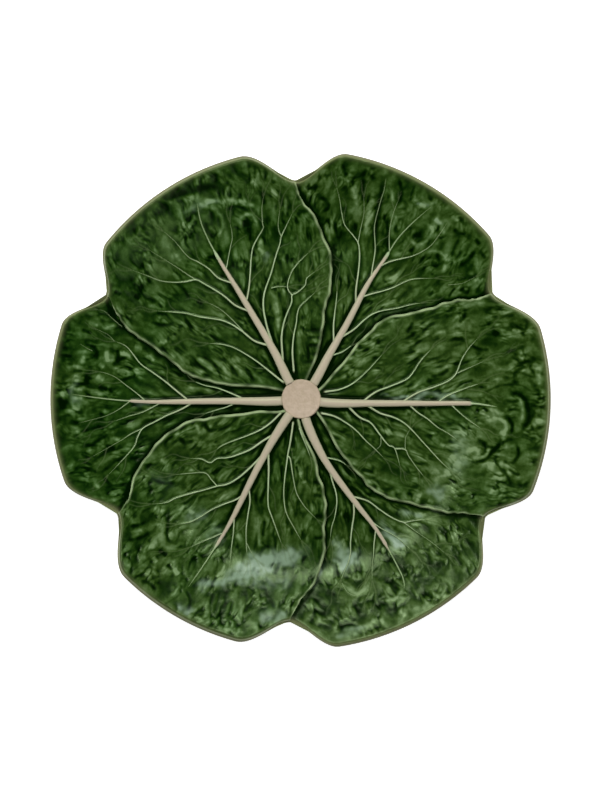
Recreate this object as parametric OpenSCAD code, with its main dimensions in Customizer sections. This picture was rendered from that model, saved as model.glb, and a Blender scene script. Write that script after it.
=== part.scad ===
// Cabbage dinner plate: a glazed plate moulded as six overlapping cabbage leaves round a cut stem.
// The origin is under the middle of the plate, on the surface that the foot ring rests on.
// Angles are in degrees, counted from +X towards +Y as seen from above.

/* [Plate body] */
// Radius of the circle that the leaf tips reach
plate_r = 131.4; // [100:0.1:170]
// Thickness of the body under the leaves
wall = 3.6; // [2.5:0.1:6]
// Radius of the flat floor of the well
well_r = 82; // [70:0.5:92]
// Radius of the bend between the floor and the flared rim
bend_r = 45; // [20:1:60]
// Slope of the flared rim
flare_deg = 22; // [10:1:35]

/* [Foot] */
// Radius of the middle of the foot ring
foot_r = 73; // [40:0.5:78]
// Width of the foot ring
foot_w = 5.4; // [3:0.1:8]
// Height of the foot ring
foot_h = 3; // [1.5:0.1:6]
// Rounding of the two lower edges of the foot ring
foot_round = 1.1; // [0.3:0.1:1.4]

/* [Leaves] */
// Thickness of the three leaves that lie underneath
leaf_t = 1.2; // [0.8:0.1:2.5]
// How much thicker the three leaves on top are
step_t = 1.2; // [0.4:0.1:2.5]
// Width of the rounded margin along each leaf
margin_w = 1.6; // [0.8:0.1:3]
// Width of the bare lip that shows round the leaves
lip_line = 1.2; // [0.6:0.1:1.6]

/* [Ribs and veins] */
// Width of a midrib where it meets the stem
rib_w = 4.6; // [2:0.1:4.8]
// Height of a midrib where it meets the stem
rib_h = 2.4; // [1:0.1:3.5]
// Width of a strong side vein where it leaves the midrib
vein_w = 1.6; // [1:0.1:2.6]
// Height of a strong side vein where it leaves the midrib
vein_h = 0.9; // [0.4:0.1:1.6]

/* [Stem] */
// Radius of the cut stem in the middle
core_r = 10.5; // [9.5:0.1:13]
// Height of the cut stem above the floor
core_h = 4.4; // [2.5:0.1:6]
// Rounding of the upper edge of the stem
core_round = 1.2; // [0.4:0.1:2]
// Depth of the shallow dish in the top of the stem
core_dish = 0.5; // [0.2:0.1:1]

/* [Fit] */
// Glaze line between a piece and what it lies on or beside
seat_gap = 0.2; // [0.12:0.01:0.3]

/* [Hidden] */
$fn = 96;

// Angle between the middles of two leaves
leaf_pitch = 60;

// Where the stem's edge lies on the scale of shares that runs to 1 at the leaf tips
core_share = 0.08;

// Notches between the leaves: angle, share of the radius, then the degrees over which the
// rim climbs out of the notch after it and the degrees over which it falls into it before it
notch_shares = [
    [-33.0, 0.884, 11.5, 12.5],
    [29.3, 0.884, 11.8, 13.0],
    [91.2, 0.883, 13.0, 12.0],
    [152.2, 0.894, 10.5, 11.0],
    [211.7, 0.877, 13.5, 12.6],
    [267.3, 0.902, 11.5, 12.5],
    [327.0, 0.884, 11.5, 12.5]
];

// Reach of each leaf's tip
lobe_shares = [1.005, 1.004, 1.007, 1.010, 1.011, 1.009];

// Angles of the six leaf boundaries, at these shares of the way from the stem to the rim
boundary_row_shares = [0.08, 0.16, 0.23, 0.30, 0.38, 0.46, 0.54, 0.62, 0.70, 0.85, 1];
boundary_degs = [
    [-45, -50.7, -54.5, -54.7, -53.1, -52.6, -49, -43.8, -40.1, -35.4, -33],
    [32, 40, 42.2, 45, 45.3, 44.7, 39.9, 36.3, 34, 30.4, 29.3],
    [71, 68.3, 70, 72.2, 74.5, 74.7, 76.2, 79.2, 83.7, 89.4, 91.2],
    [160.5, 164.7, 168.6, 170.4, 169.8, 168.5, 164.7, 161.5, 159.7, 156.3, 152.2],
    [211, 195.8, 193.3, 191.6, 190.6, 190.8, 193.2, 197, 202, 209.1, 211.7],
    [267, 278, 284, 284, 284.6, 283.3, 280.5, 279.3, 276.4, 270.4, 267.3]
];

// Course of each midrib: share of the radius, and degrees from the middle of its leaf
rib_shares = [
    [[0.08, -9], [0.23, -4.4], [0.37, -2.7], [0.51, -2], [0.68, -1.5], [0.79, -2.3]],
    [[0.08, -8.5], [0.19, -2.7], [0.36, -1.3], [0.52, -0.1], [0.66, -0.8], [0.77, -1.2], [0.93, -4]],
    [[0.08, 5], [0.19, 0], [0.42, 0], [0.65, 0.5], [0.80, -0.2], [0.89, -2]],
    [[0.08, 5.5], [0.22, 2.3], [0.36, 1.4], [0.57, 1.2], [0.70, 0.6], [0.78, 0], [0.92, -1.2]],
    [[0.08, -7], [0.18, -5], [0.32, -2.5], [0.54, 0], [0.74, -0.3], [0.88, -1]],
    [[0.08, -17], [0.18, -12], [0.26, -9], [0.37, -5], [0.49, -2], [0.62, 0], [0.81, -0.2], [0.87, -1.5]]
];

// Width and height of a midrib along its course, as shares of those at the stem
rib_size_shares = [
    [0.08, 1], [0.20, 0.88], [0.28, 0.74], [0.40, 0.68], [0.50, 0.57], [0.60, 0.50], [0.68, 0.40], [0.75, 0.2],
    [0.85, 0.14], [1, 0.10]
];

// Side veins: strength, root, then the course in shares and degrees from the middle of the leaf.
// A root that is one number leaves the midrib at that share, and a pair stands by itself.
vein_shares = [
    [
        [0.8, [0.11, 16], [0.16, 14], [0.22, 17], [0.29, 23], [0.376, 29]],
        [1.0, 0.246, [0.303, 5.4], [0.368, 8.3], [0.434, 10.7], [0.506, 17.7], [0.562, 21]],
        [1.0, 0.40, [0.469, 3], [0.54, 5.2], [0.633, 9.3], [0.709, 17], [0.753, 19]],
        [0.6, [0.665, 9.9], [0.71, 10.9], [0.756, 11.8]],
        [0.8, 0.545, [0.594, 1.4], [0.665, 3.7], [0.722, 5]],
        [0.8, [0.11, -33.5], [0.16, -27.5], [0.23, -28.8], [0.309, -32.8], [0.409, -35.5]],
        [1.0, 0.186, [0.242, -17], [0.297, -19], [0.345, -24], [0.428, -28], [0.483, -34.3]],
        [0.7, [0.45, -26.5], [0.491, -28], [0.545, -30.8], [0.587, -32.3]],
        [1.0, 0.263, [0.32, -10], [0.424, -13], [0.51, -18.8], [0.62, -24.2], [0.67, -25.6]],
        [0.8, 0.436, [0.517, -9], [0.61, -13.2], [0.654, -14.8]],
        [0.7, 0.602, [0.638, -4.7], [0.683, -7.3], [0.735, -9.3]]
    ],
    [
        [0.9, 0.259, [0.321, 6], [0.374, 8.7], [0.463, 11.7]],
        [1.0, 0.443, [0.486, 3], [0.592, 6.7], [0.671, 10], [0.725, 16], [0.816, 19], [0.868, 20.6]],
        [0.6, [0.705, 10.5], [0.787, 11.3], [0.853, 12.8]],
        [0.8, 0.568, [0.603, 1.5], [0.682, 4], [0.757, 7], [0.841, 8], [0.95, 9]],
        [0.6, 0.702, [0.758, 2], [0.825, 3.5], [0.892, 4]],
        [0.8, 0.626, [0.659, -2.8], [0.691, -5.2], [0.764, -9.2], [0.812, -10.2], [0.921, -9.6]],
        [0.9, 0.481, [0.513, -4], [0.583, -9.5], [0.664, -13.2], [0.726, -17.8]],
        [1.0, 0.294, [0.35, -7], [0.447, -10], [0.531, -16.4], [0.619, -21.3]],
        [0.8, 0.213, [0.249, -10.7], [0.297, -13.3]],
        [0.4, [0.751, -22.2], [0.80, -24.3], [0.859, -25]]
    ],
    [
        [0.7, 0.605, [0.637, -2.4], [0.676, -5], [0.766, -8]],
        [0.9, 0.45, [0.494, -4.7], [0.60, -10.3], [0.677, -15.2], [0.727, -17.6], [0.829, -19.4]],
        [1.0, 0.24, [0.32, -5.6], [0.387, -7.3], [0.463, -11.7], [0.581, -19.7], [0.66, -23], [0.753, -27.4]],
        [0.6, [0.695, -22.2], [0.771, -23.6]],
        [1.0, 0.15, [0.20, -8.5], [0.257, -12], [0.347, -20.3], [0.42, -25], [0.46, -32], [0.519, -36.4]],
        [0.7, [0.455, -24], [0.51, -25.4], [0.564, -30.2], [0.593, -33]],
        [0.8, [0.123, -15.7], [0.192, -19.4], [0.253, -23], [0.342, -27.3], [0.398, -33], [0.436, -37.6]],
        [0.8, 0.548, [0.59, 4.3], [0.646, 5.4], [0.735, 8.5], [0.875, 9.4]],
        [1.0, 0.415, [0.46, 5], [0.56, 8.3], [0.641, 11.4], [0.697, 17.5], [0.799, 21.4], [0.856, 22.7]],
        [0.6, [0.68, 12.4], [0.728, 13.3], [0.856, 15.6]],
        [1.0, 0.259, [0.299, 8.6], [0.408, 12.8], [0.485, 18], [0.579, 23.4], [0.683, 28.6]],
        [0.8, [0.103, 17.5], [0.165, 18.8], [0.285, 21], [0.388, 25.4], [0.436, 29]]
    ],
    [
        [0.8, 0.23, [0.328, -7], [0.436, -9.3]],
        [1.0, 0.458, [0.508, -4], [0.606, -10], [0.696, -14.5], [0.749, -17]],
        [0.7, 0.632, [0.668, -2.2], [0.755, -6.7], [0.827, -7.6]],
        [0.4, [0.78, -22], [0.823, -23], [0.895, -23.7]],
        [0.4, [0.789, -17.2], [0.82, -18.4], [0.866, -18.8]],
        [0.7, 0.57, [0.641, 4.7], [0.763, 6.8]],
        [0.6, 0.695, [0.738, 3.3], [0.795, 5], [0.902, 6.2]],
        [1.0, 0.438, [0.488, 5], [0.597, 8.8], [0.65, 10.5], [0.702, 16], [0.765, 19], [0.836, 21.5]],
        [0.6, [0.69, 11.2], [0.749, 13], [0.88, 15.6]],
        [0.7, 0.258, [0.30, 6.6], [0.393, 8.7]]
    ],
    [
        [0.8, [0.11, -25], [0.158, -22], [0.208, -23], [0.318, -28.2], [0.40, -29.5]],
        [1.0, 0.175, [0.226, -12.2], [0.334, -18.2], [0.416, -24.7], [0.471, -29], [0.511, -32]],
        [1.0, 0.26, [0.33, -7.2], [0.41, -8.7], [0.489, -14], [0.592, -19.7], [0.687, -22.5], [0.739, -25]],
        [0.7, [0.498, -19.5], [0.536, -26], [0.592, -29]],
        [0.9, 0.456, [0.50, -4.4], [0.576, -9], [0.672, -12.2], [0.711, -14.7]],
        [0.7, 0.627, [0.66, -2.4], [0.697, -4.5], [0.75, -7]],
        [1.0, 0.254, [0.308, 4.8], [0.419, 11.3], [0.494, 16.3], [0.59, 22.3]],
        [0.9, 0.42, [0.46, 3.3], [0.568, 7], [0.67, 11]],
        [0.8, 0.548, [0.608, 3.2], [0.714, 6.5]],
        [0.8, [0.11, 12], [0.18, 15.8], [0.236, 16.6], [0.355, 18.8], [0.47, 23], [0.571, 30]],
        [0.7, [0.262, 20.8], [0.309, 23.7], [0.425, 31], [0.492, 37.6]],
        [0.6, [0.118, 26.5], [0.147, 31], [0.19, 36], [0.236, 39]]
    ],
    [
        [0.9, 0.306, [0.37, -10], [0.442, -11], [0.53, -16.5], [0.576, -18.3]],
        [1.0, 0.471, [0.513, -5.5], [0.612, -11], [0.688, -14], [0.745, -17.5]],
        [0.8, 0.614, [0.655, -3.3], [0.74, -7.3], [0.785, -8.6]],
        [1.0, 0.449, [0.49, 3], [0.60, 7.3], [0.647, 9.7], [0.669, 12.8], [0.701, 16]],
        [0.6, [0.69, 10.5], [0.77, 12], [0.849, 13]],
        [0.8, 0.563, [0.63, 2.4], [0.749, 6]],
        [0.8, 0.26, [0.292, 1.6], [0.325, 4.4]]
    ]
];

// Share of a vein's size that is left at its tip
vein_tip_share = 0.35;

// Shoulders of a midrib's section: share of the half width, and share of the height
rib_shoulder_shares = [0.68, 0.7];

// Rows of a leaf on the floor, from the stem to the edge of the well
floor_row_shares = [0, 0.08, 0.2, 0.33, 0.46, 0.6, 0.74, 0.88, 1];
// Rows of a leaf on the flare, from the bend to the line where its rounded margin starts
flare_row_shares = [0.33, 0.67, 1];
// Steps round the bend
bend_steps = 3;
// Columns across a leaf between its two margins
leaf_columns = 16;
// Points of the rim outline for each leaf
rim_points = 18;
// How strongly those points crowd towards the notches
crowd_share = 0.09;
// Share of a leaf's thickness that is left at its margin
margin_share = 0.45;
// Steps of a spline from one point to the next
rib_steps = 3;
vein_steps = 2;

// Angles of the points round the lip's section
lip_turns = [-90, -45, 0, 45, 90];

floor_z = foot_h + wall;
bend_end_r = well_r + bend_r * sin(flare_deg);
bend_rise = bend_r * (1 - cos(flare_deg));
lip_round = wall / 2;
leaf_count = len(lobe_shares);

// Eases from 0 to 1 with level ends
function ease(u) = let (v = min(max(u, 0), 1)) v * v * (3 - 2 * v);

// Radius at a share, where core_share is the stem's edge and 1 is the circle of the leaf tips
function radius_at(share) = core_r + (share - core_share) / (1 - core_share) * (plate_r - core_r);

// Share at a radius
function share_at(r) = core_share + (1 - core_share) * (r - core_r) / (plate_r - core_r);

// Height of the body's upper face: flat floor, round bend, then a straight flare
function dish_z(r) =
    r <= well_r ? floor_z
    : r <= bend_end_r ? floor_z + bend_r - sqrt(bend_r * bend_r - (r - well_r) * (r - well_r))
    : floor_z + bend_rise + (r - bend_end_r) * tan(flare_deg);

// Radius of the rim in a direction, for the leaf that lies there
function rim_r(leaf, deg) =
    let (before = notch_shares[leaf], after = notch_shares[leaf + 1], tip = lobe_shares[leaf])
    plate_r * (tip
        - (tip - before[1]) * (1 - ease((deg - before[0]) / before[2]))
        - (tip - after[1]) * (1 - ease((after[0] - deg) / after[3])));

// Whether a leaf lies on top of its neighbours: the odd-numbered ones do
function on_top(leaf) = leaf % 2 == 0;

function leaf_thickness(leaf) = on_top(leaf) ? leaf_t + step_t : leaf_t;

// Height of a leaf's upper face at a radius
function leaf_z(leaf, r) = dish_z(r) + seat_gap + leaf_thickness(leaf);

function polar(r, deg) = [r * cos(deg), r * sin(deg)];

// Degrees that a length spans at a radius
function degs_of(length, r) = 180 / PI * length / r;

// Catmull-Rom curve through points, with the same number of steps from each to the next
function spline_point(a, b, c, d, t) =
    0.5 * (2 * b + (c - a) * t + (2 * a - 5 * b + 4 * c - d) * t * t + (3 * b - a - 3 * c + d) * t * t * t);

function spline(points, steps) =
    let (last = len(points) - 1)
    concat(
        [for (i = [0 : last - 1], k = [0 : steps - 1])
            spline_point(
                points[max(i - 1, 0)], points[i], points[i + 1], points[min(i + 2, last)], k / steps)],
        [points[last]]);

// Angle of a midrib at a share
function rib_deg(leaf, share) = leaf * leaf_pitch + lookup(share, spline(rib_shares[leaf], rib_steps));

function rib_size(share) = lookup(share, rib_size_shares);

// Boundary line after leaf number b, as pairs of share and angle
boundaries = [
    for (b = [0 : leaf_count])
        let (turn = b == leaf_count ? 360 : 0, degs = boundary_degs[b % leaf_count])
        spline([for (k = [0 : len(degs) - 1]) [boundary_row_shares[k], degs[k] + turn]], rib_steps)
];

// One row of a leaf: its radius inside the bend, how far it is up the flare, and how far
// inside the rim it ends
leaf_rows = concat(
    [for (q = floor_row_shares) [core_r + seat_gap + q * (well_r - core_r - seat_gap), 0, 0]],
    [for (k = [1 : bend_steps]) [well_r + bend_r * sin(k / bend_steps * flare_deg), 0, 0]],
    [for (u = flare_row_shares) [bend_end_r, u, lip_line + margin_w]],
    [[bend_end_r, 1, lip_line]]);

function row_share(row) = share_at(row[0]) + row[1] * (1 - share_at(row[0]));

function row_r(leaf, row, deg) = row[0] + row[1] * (rim_r(leaf, deg) - row[2] - row[0]);

// Angles of a leaf's columns in one row: both margins, their inner lines and a spread between
function column_degs(leaf, row) =
    let (
        r = row_r(leaf, row, leaf * leaf_pitch),
        from = lookup(row_share(row), boundaries[leaf]) + degs_of(seat_gap / 2, r),
        to = lookup(row_share(row), boundaries[leaf + 1]) - degs_of(seat_gap / 2, r),
        edge = degs_of(margin_w, r))
    concat(
        [from],
        [for (c = [0 : leaf_columns])
            let (x = c / leaf_columns, t = x - crowd_share * sin(360 * x))
            from + edge + t * (to - from - 2 * edge)],
        [to]);

// Grid of points on a leaf, at a height above its seat that falls off at its margins
function leaf_grid(leaf, height) = [
    for (k = [0 : len(leaf_rows) - 1])
        let (row = leaf_rows[k], degs = column_degs(leaf, row))
        [for (c = [0 : len(degs) - 1])
            let (
                r = row_r(leaf, row, degs[c]),
                at_margin = c == 0 || c == len(degs) - 1 || k == len(leaf_rows) - 1,
                z = dish_z(r) + seat_gap + height * (at_margin ? margin_share : 1))
            concat(polar(r, degs[c]), [z])]
];

// Solid between two grids of points, the first above the second, with walls round their edge
module sheet(upper, lower) {
    rows = len(upper);
    columns = len(upper[0]);
    size = rows * columns;
    function at(k, c) = k * columns + c;
    edge = concat(
        [for (k = [0 : rows - 2]) at(k, 0)],
        [for (c = [0 : columns - 2]) at(rows - 1, c)],
        [for (k = [rows - 1 : -1 : 1]) at(k, columns - 1)],
        [for (c = [columns - 1 : -1 : 1]) at(0, c)]);
    polyhedron(
        points = [for (grid = [upper, lower], line = grid, p = line) p],
        faces = concat(
            [for (k = [0 : rows - 2], c = [0 : columns - 2], half = [0, 1])
                half == 0 ? [at(k, c), at(k, c + 1), at(k + 1, c + 1)]
                : [at(k, c), at(k + 1, c + 1), at(k + 1, c)]],
            [for (k = [0 : rows - 2], c = [0 : columns - 2], half = [0, 1])
                half == 0 ? [size + at(k, c), size + at(k + 1, c + 1), size + at(k, c + 1)]
                : [size + at(k, c), size + at(k + 1, c), size + at(k + 1, c + 1)]],
            [for (n = [0 : len(edge) - 1], half = [0, 1])
                let (a = edge[n], b = edge[(n + 1) % len(edge)])
                half == 0 ? [a, b, size + b] : [a, size + b, size + a]]));
}

// Solid through a row of closed loops with equal numbers of points, with flat ends
module loft(loops) {
    count = len(loops[0]);
    last = len(loops) - 1;
    polyhedron(
        points = [for (ring = loops, p = ring) p],
        faces = concat(
            [[for (k = [0 : count - 1]) k]],
            [for (n = [0 : last - 1], k = [0 : count - 1], half = [0, 1])
                let (m = (k + 1) % count, a = n * count, b = a + count)
                half == 0 ? [a + k, b + k, b + m] : [a + k, b + m, a + m]],
            [[for (k = [count - 1 : -1 : 0]) last * count + k]]));
}

// Direction of a course at one of its points, level with the table
function heading(course, n) =
    let (d = course[min(n + 1, len(course) - 1)] - course[max(n - 1, 0)])
    d / norm(d);

// Sections across a course that lie on a leaf: each is a list of points given by how far across
// they lie, as a share of the half width, and how high, as a share of the height
function ridge_loops(leaf, course, sizes, width, height, section) = [
    for (n = [0 : len(course) - 1])
        let (d = heading(course, n), side = [-d[1], d[0]])
        [for (s = section)
            let (p = course[n] + side * s[0] * sizes[n] * width / 2)
            concat(p, [leaf_z(leaf, norm(p)) + seat_gap + s[1] * sizes[n] * height])]
];

// Course of a midrib from the stem to its tip
function rib_course(leaf) = [
    for (p = spline(rib_shares[leaf], rib_steps))
        let (start = p[0] == core_share ? seat_gap : 0)
        polar(radius_at(p[0]) + start, leaf * leaf_pitch + p[1])
];

// Root of a vein: beside the midrib where a share is given, or a place of its own
function vein_root(leaf, vein) =
    is_list(vein[1]) ? polar(radius_at(vein[1][0]), leaf * leaf_pitch + vein[1][1])
    : let (
        share = vein[1],
        r = radius_at(share),
        middle = rib_deg(leaf, share),
        side = sign(leaf * leaf_pitch + vein[2][1] - middle),
        reach = (rib_w * rib_size(share) + vein_w * vein[0]) / 2 + seat_gap)
    polar(r, middle + side * degs_of(reach, r));

function vein_course(leaf, vein) =
    spline(
        concat(
            [vein_root(leaf, vein)],
            [for (n = [2 : len(vein) - 1]) polar(radius_at(vein[n][0]), leaf * leaf_pitch + vein[n][1])]),
        vein_steps);

// One leaf skin
module leaf(number) {
    sheet(leaf_grid(number, leaf_thickness(number)), leaf_grid(number, 0));
}

// One midrib, thick at the stem and running out towards the rim
module midrib(number) {
    across = rib_shoulder_shares[0];
    up = rib_shoulder_shares[1];
    sizes = [for (p = spline(rib_shares[number], rib_steps)) rib_size(p[0])];
    section = [[1, 0], [across, up], [0, 1], [-across, up], [-1, 0]];
    loft(ridge_loops(number, rib_course(number), sizes, rib_w, rib_h, section));
}

// All side veins of one leaf
module side_veins(number) {
    for (vein = vein_shares[number]) {
        course = vein_course(number, vein);
        last = len(course) - 1;
        sizes = [for (n = [0 : last]) vein[0] * (1 - (1 - vein_tip_share) * n / last)];
        loft(ridge_loops(number, course, sizes, vein_w, vein_h, [[1, 0], [0, 1], [-1, 0]]));
    }
}

// Directions in which the body has points, as pairs of leaf number and angle
body_directions = [
    for (leaf = [0 : leaf_count - 1], k = [0 : rim_points - 1])
        let (x = k / rim_points, from = notch_shares[leaf][0], to = notch_shares[leaf + 1][0])
        [leaf, from + (x - crowd_share * sin(360 * x)) * (to - from)]
];

// Round ring of the body, inside the flare
function body_ring(r, drop) = [for (d = body_directions) concat(polar(r, d[1]), [dish_z(r) - drop])];

// Ring along the rounded lip, at an angle round its section
function lip_ring(turn) = [
    for (d = body_directions)
        let (r = rim_r(d[0], d[1]) - lip_round)
        concat(
            polar(r + lip_round * cos(turn), d[1]),
            [dish_z(r) - lip_round + lip_round * sin(turn)])
];

// Plain lobed body that carries the relief
module plate_body() {
    bend = [for (k = [0 : bend_steps]) well_r + bend_r * sin(k / bend_steps * flare_deg)];
    color("#4a5d2e")
        loft(concat(
            [for (k = [0 : bend_steps]) body_ring(bend[k], wall)],
            [for (turn = lip_turns) lip_ring(turn)],
            [for (k = [bend_steps : -1 : 0]) body_ring(bend[k], 0)]));
}

// Foot ring that the plate rests on
module foot_ring() {
    color("#c9b28c")
        rotate_extrude()
            translate([foot_r, 0])
                union() {
                    translate([-foot_w / 2, foot_round])
                        square([foot_w, foot_h - foot_round]);
                    translate([foot_round - foot_w / 2, 0])
                        square([foot_w - 2 * foot_round, foot_h]);
                    for (side = [-1, 1])
                        translate([side * (foot_w / 2 - foot_round), foot_round])
                            circle(r = foot_round);
                }
}

// Cut stem in the middle, with a rounded edge and a shallow dish
module stem_core() {
    dish_r = core_r - core_round;
    ball_r = (dish_r * dish_r + core_dish * core_dish) / (2 * core_dish);
    color("#cdbd98")
        translate([0, 0, floor_z])
            difference() {
                rotate_extrude() {
                    square([core_r, core_h - core_round]);
                    square([dish_r, core_h]);
                    translate([dish_r, core_h - core_round])
                        circle(r = core_round);
                }
                translate([0, 0, core_h - core_dish + ball_r])
                    sphere(r = ball_r);
            }
}

module leaf_1() color("#3c6428") leaf(0);
module leaf_2() color("#31561f") leaf(1);
module leaf_3() color("#3c6428") leaf(2);
module leaf_4() color("#31561f") leaf(3);
module leaf_5() color("#3c6428") leaf(4);
module leaf_6() color("#31561f") leaf(5);

module midrib_1() color("#c6b892") midrib(0);
module midrib_2() color("#c6b892") midrib(1);
module midrib_3() color("#c6b892") midrib(2);
module midrib_4() color("#c6b892") midrib(3);
module midrib_5() color("#c6b892") midrib(4);
module midrib_6() color("#c6b892") midrib(5);

module side_veins_1() color("#9fb07c") side_veins(0);
module side_veins_2() color("#9fb07c") side_veins(1);
module side_veins_3() color("#9fb07c") side_veins(2);
module side_veins_4() color("#9fb07c") side_veins(3);
module side_veins_5() color("#9fb07c") side_veins(4);
module side_veins_6() color("#9fb07c") side_veins(5);

plate_body();
foot_ring();
stem_core();
leaf_1();
leaf_2();
leaf_3();
leaf_4();
leaf_5();
leaf_6();
midrib_1();
midrib_2();
midrib_3();
midrib_4();
midrib_5();
midrib_6();
side_veins_1();
side_veins_2();
side_veins_3();
side_veins_4();
side_veins_5();
side_veins_6();
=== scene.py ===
"""Looks of the cabbage dinner plate: moulded earthenware under a coat of green and cream majolica glaze.

The relief is worked out in millimetres as heights over the plan of the plate, on grids of points, and put
into meshes in metres. Glaze lies thin and pale on what stands proud and pools dark in what lies deep, so
each point of a mesh carries how thin its glaze is, and the materials read that.
"""

import logging
import math
from dataclasses import dataclass, field

import bpy
import numpy as np
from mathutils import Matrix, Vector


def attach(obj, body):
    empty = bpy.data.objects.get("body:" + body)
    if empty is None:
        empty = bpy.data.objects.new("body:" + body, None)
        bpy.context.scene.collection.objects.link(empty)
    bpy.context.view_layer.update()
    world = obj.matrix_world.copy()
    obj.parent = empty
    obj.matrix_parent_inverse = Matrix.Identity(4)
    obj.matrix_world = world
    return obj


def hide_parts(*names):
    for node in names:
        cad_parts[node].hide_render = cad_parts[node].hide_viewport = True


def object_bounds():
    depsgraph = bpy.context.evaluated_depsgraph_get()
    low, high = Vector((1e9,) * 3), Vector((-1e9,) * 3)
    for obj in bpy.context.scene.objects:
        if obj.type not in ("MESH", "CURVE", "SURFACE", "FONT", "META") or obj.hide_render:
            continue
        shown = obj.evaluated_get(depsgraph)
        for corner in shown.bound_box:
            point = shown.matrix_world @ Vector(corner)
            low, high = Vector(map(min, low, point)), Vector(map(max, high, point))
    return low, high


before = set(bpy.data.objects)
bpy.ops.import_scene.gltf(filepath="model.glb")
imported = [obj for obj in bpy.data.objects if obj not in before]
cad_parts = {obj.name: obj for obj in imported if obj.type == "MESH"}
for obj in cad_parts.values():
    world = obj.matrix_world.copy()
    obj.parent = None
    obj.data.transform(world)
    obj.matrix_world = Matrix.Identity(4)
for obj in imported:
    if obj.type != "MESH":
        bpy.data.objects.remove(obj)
CAD_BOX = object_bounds()

LOG = logging.getLogger("cabbage_plate")
MM = 0.001
TINY = 1e-9
LEAVES = 6
LEAF_PITCH = 360.0 / LEAVES
CORE_SHARE = 0.08

# Share of the plate's radius at which the leaves' skin goes over into that of the rim, and the share over
# which it does.
RIM_ZONE = (0.62, 0.2)

# Height in millimetres from which a ridge shows in full.
FULL_RIDGE_MM = 0.3

# Short names for types that are used often.
Array = np.ndarray
Pair = tuple[float, float]
Course = tuple[Pair, ...]
Piece = bpy.types.Object
Socket = bpy.types.NodeSocket

# Notches between the leaves: angle, share of the radius, and degrees of the climb after the notch and of the
# fall before it.
NOTCH_SHARES = (
    (-33.0, 0.884, 11.5, 12.5),
    (29.3, 0.884, 11.8, 13.0),
    (91.2, 0.883, 13.0, 12.0),
    (152.2, 0.894, 10.5, 11.0),
    (211.7, 0.877, 13.5, 12.6),
    (267.3, 0.902, 11.5, 12.5),
    (327.0, 0.884, 11.5, 12.5),
)

# Reach of each leaf's tip, as a share of the radius.
LOBE_SHARES = (1.005, 1.004, 1.007, 1.010, 1.011, 1.009)

# Angles of the leaf boundaries at these shares of the way from the stem to the rim.
BOUNDARY_ROW_SHARES = (0.08, 0.16, 0.23, 0.30, 0.38, 0.46, 0.54, 0.62, 0.70, 0.85, 1.0)
BOUNDARY_DEGS = (
    (-45, -50.7, -54.5, -54.7, -53.1, -52.6, -49, -43.8, -40.1, -35.4, -33),
    (32, 40, 42.2, 45, 45.3, 44.7, 39.9, 36.3, 34, 30.4, 29.3),
    (71, 68.3, 70, 72.2, 74.5, 74.7, 76.2, 79.2, 83.7, 89.4, 91.2),
    (160.5, 164.7, 168.6, 170.4, 169.8, 168.5, 164.7, 161.5, 159.7, 156.3, 152.2),
    (211, 195.8, 193.3, 191.6, 190.6, 190.8, 193.2, 197, 202, 209.1, 211.7),
    (267, 278, 284, 284, 284.6, 283.3, 280.5, 279.3, 276.4, 270.4, 267.3),
    (315, 309.3, 305.5, 305.3, 306.9, 307.4, 311, 316.2, 319.9, 324.6, 327),
)

# Course of each midrib: share of the radius, and degrees from the middle of its leaf.
RIB_SHARES: tuple[Course, ...] = (
    ((0.08, -9), (0.23, -4.4), (0.37, -2.7), (0.51, -2), (0.68, -1.5), (0.79, -2.3)),
    ((0.08, -8.5), (0.19, -2.7), (0.36, -1.3), (0.52, -0.1), (0.66, -0.8), (0.77, -1.2), (0.93, -4)),
    ((0.08, 5), (0.19, 0), (0.42, 0), (0.65, 0.5), (0.80, -0.2), (0.89, -2)),
    ((0.08, 5.5), (0.22, 2.3), (0.36, 1.4), (0.57, 1.2), (0.70, 0.6), (0.78, 0), (0.92, -1.2)),
    ((0.08, -7), (0.18, -5), (0.32, -2.5), (0.54, 0), (0.74, -0.3), (0.88, -1)),
    ((0.08, -17), (0.18, -12), (0.26, -9), (0.37, -5), (0.49, -2), (0.62, 0), (0.81, -0.2), (0.87, -1.5)),
)

# Share at which the cream colour of each midrib runs out, and the share over which it fades.
RIB_CREAM_SHARES = ((0.684, 0.004), (0.67, 0.03), (0.655, 0.03), (0.695, 0.012), (0.68, 0.04), (0.70, 0.03))

# Width and height of a midrib along its course, as shares of those at the stem.
RIB_SIZE_SHARES = (
    (0.08, 1), (0.14, 0.98), (0.20, 0.88), (0.28, 0.74), (0.40, 0.68), (0.50, 0.57), (0.60, 0.52),
    (0.683, 0.49), (0.692, 0.18), (0.85, 0.13), (1, 0.10),
)

# How much of that width each midrib keeps where its cream runs out.
RIB_TIP_SHARES = (1.0, 0.7, 0.7, 0.75, 0.7, 0.75)

# Glaze of each leaf as a whole: how much more thinly than on the rest its glaze lies, where negative partly a
# painted shade that darkens the whole leaf, and how cool its green is.
LEAF_GLAZE_AND_SHADE = ((0.0, 0.1), (-0.02, 0.3), (-0.04, 0.5), (-0.06, 0.65), (-0.02, 0.3), (-0.03, 0.0))

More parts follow.
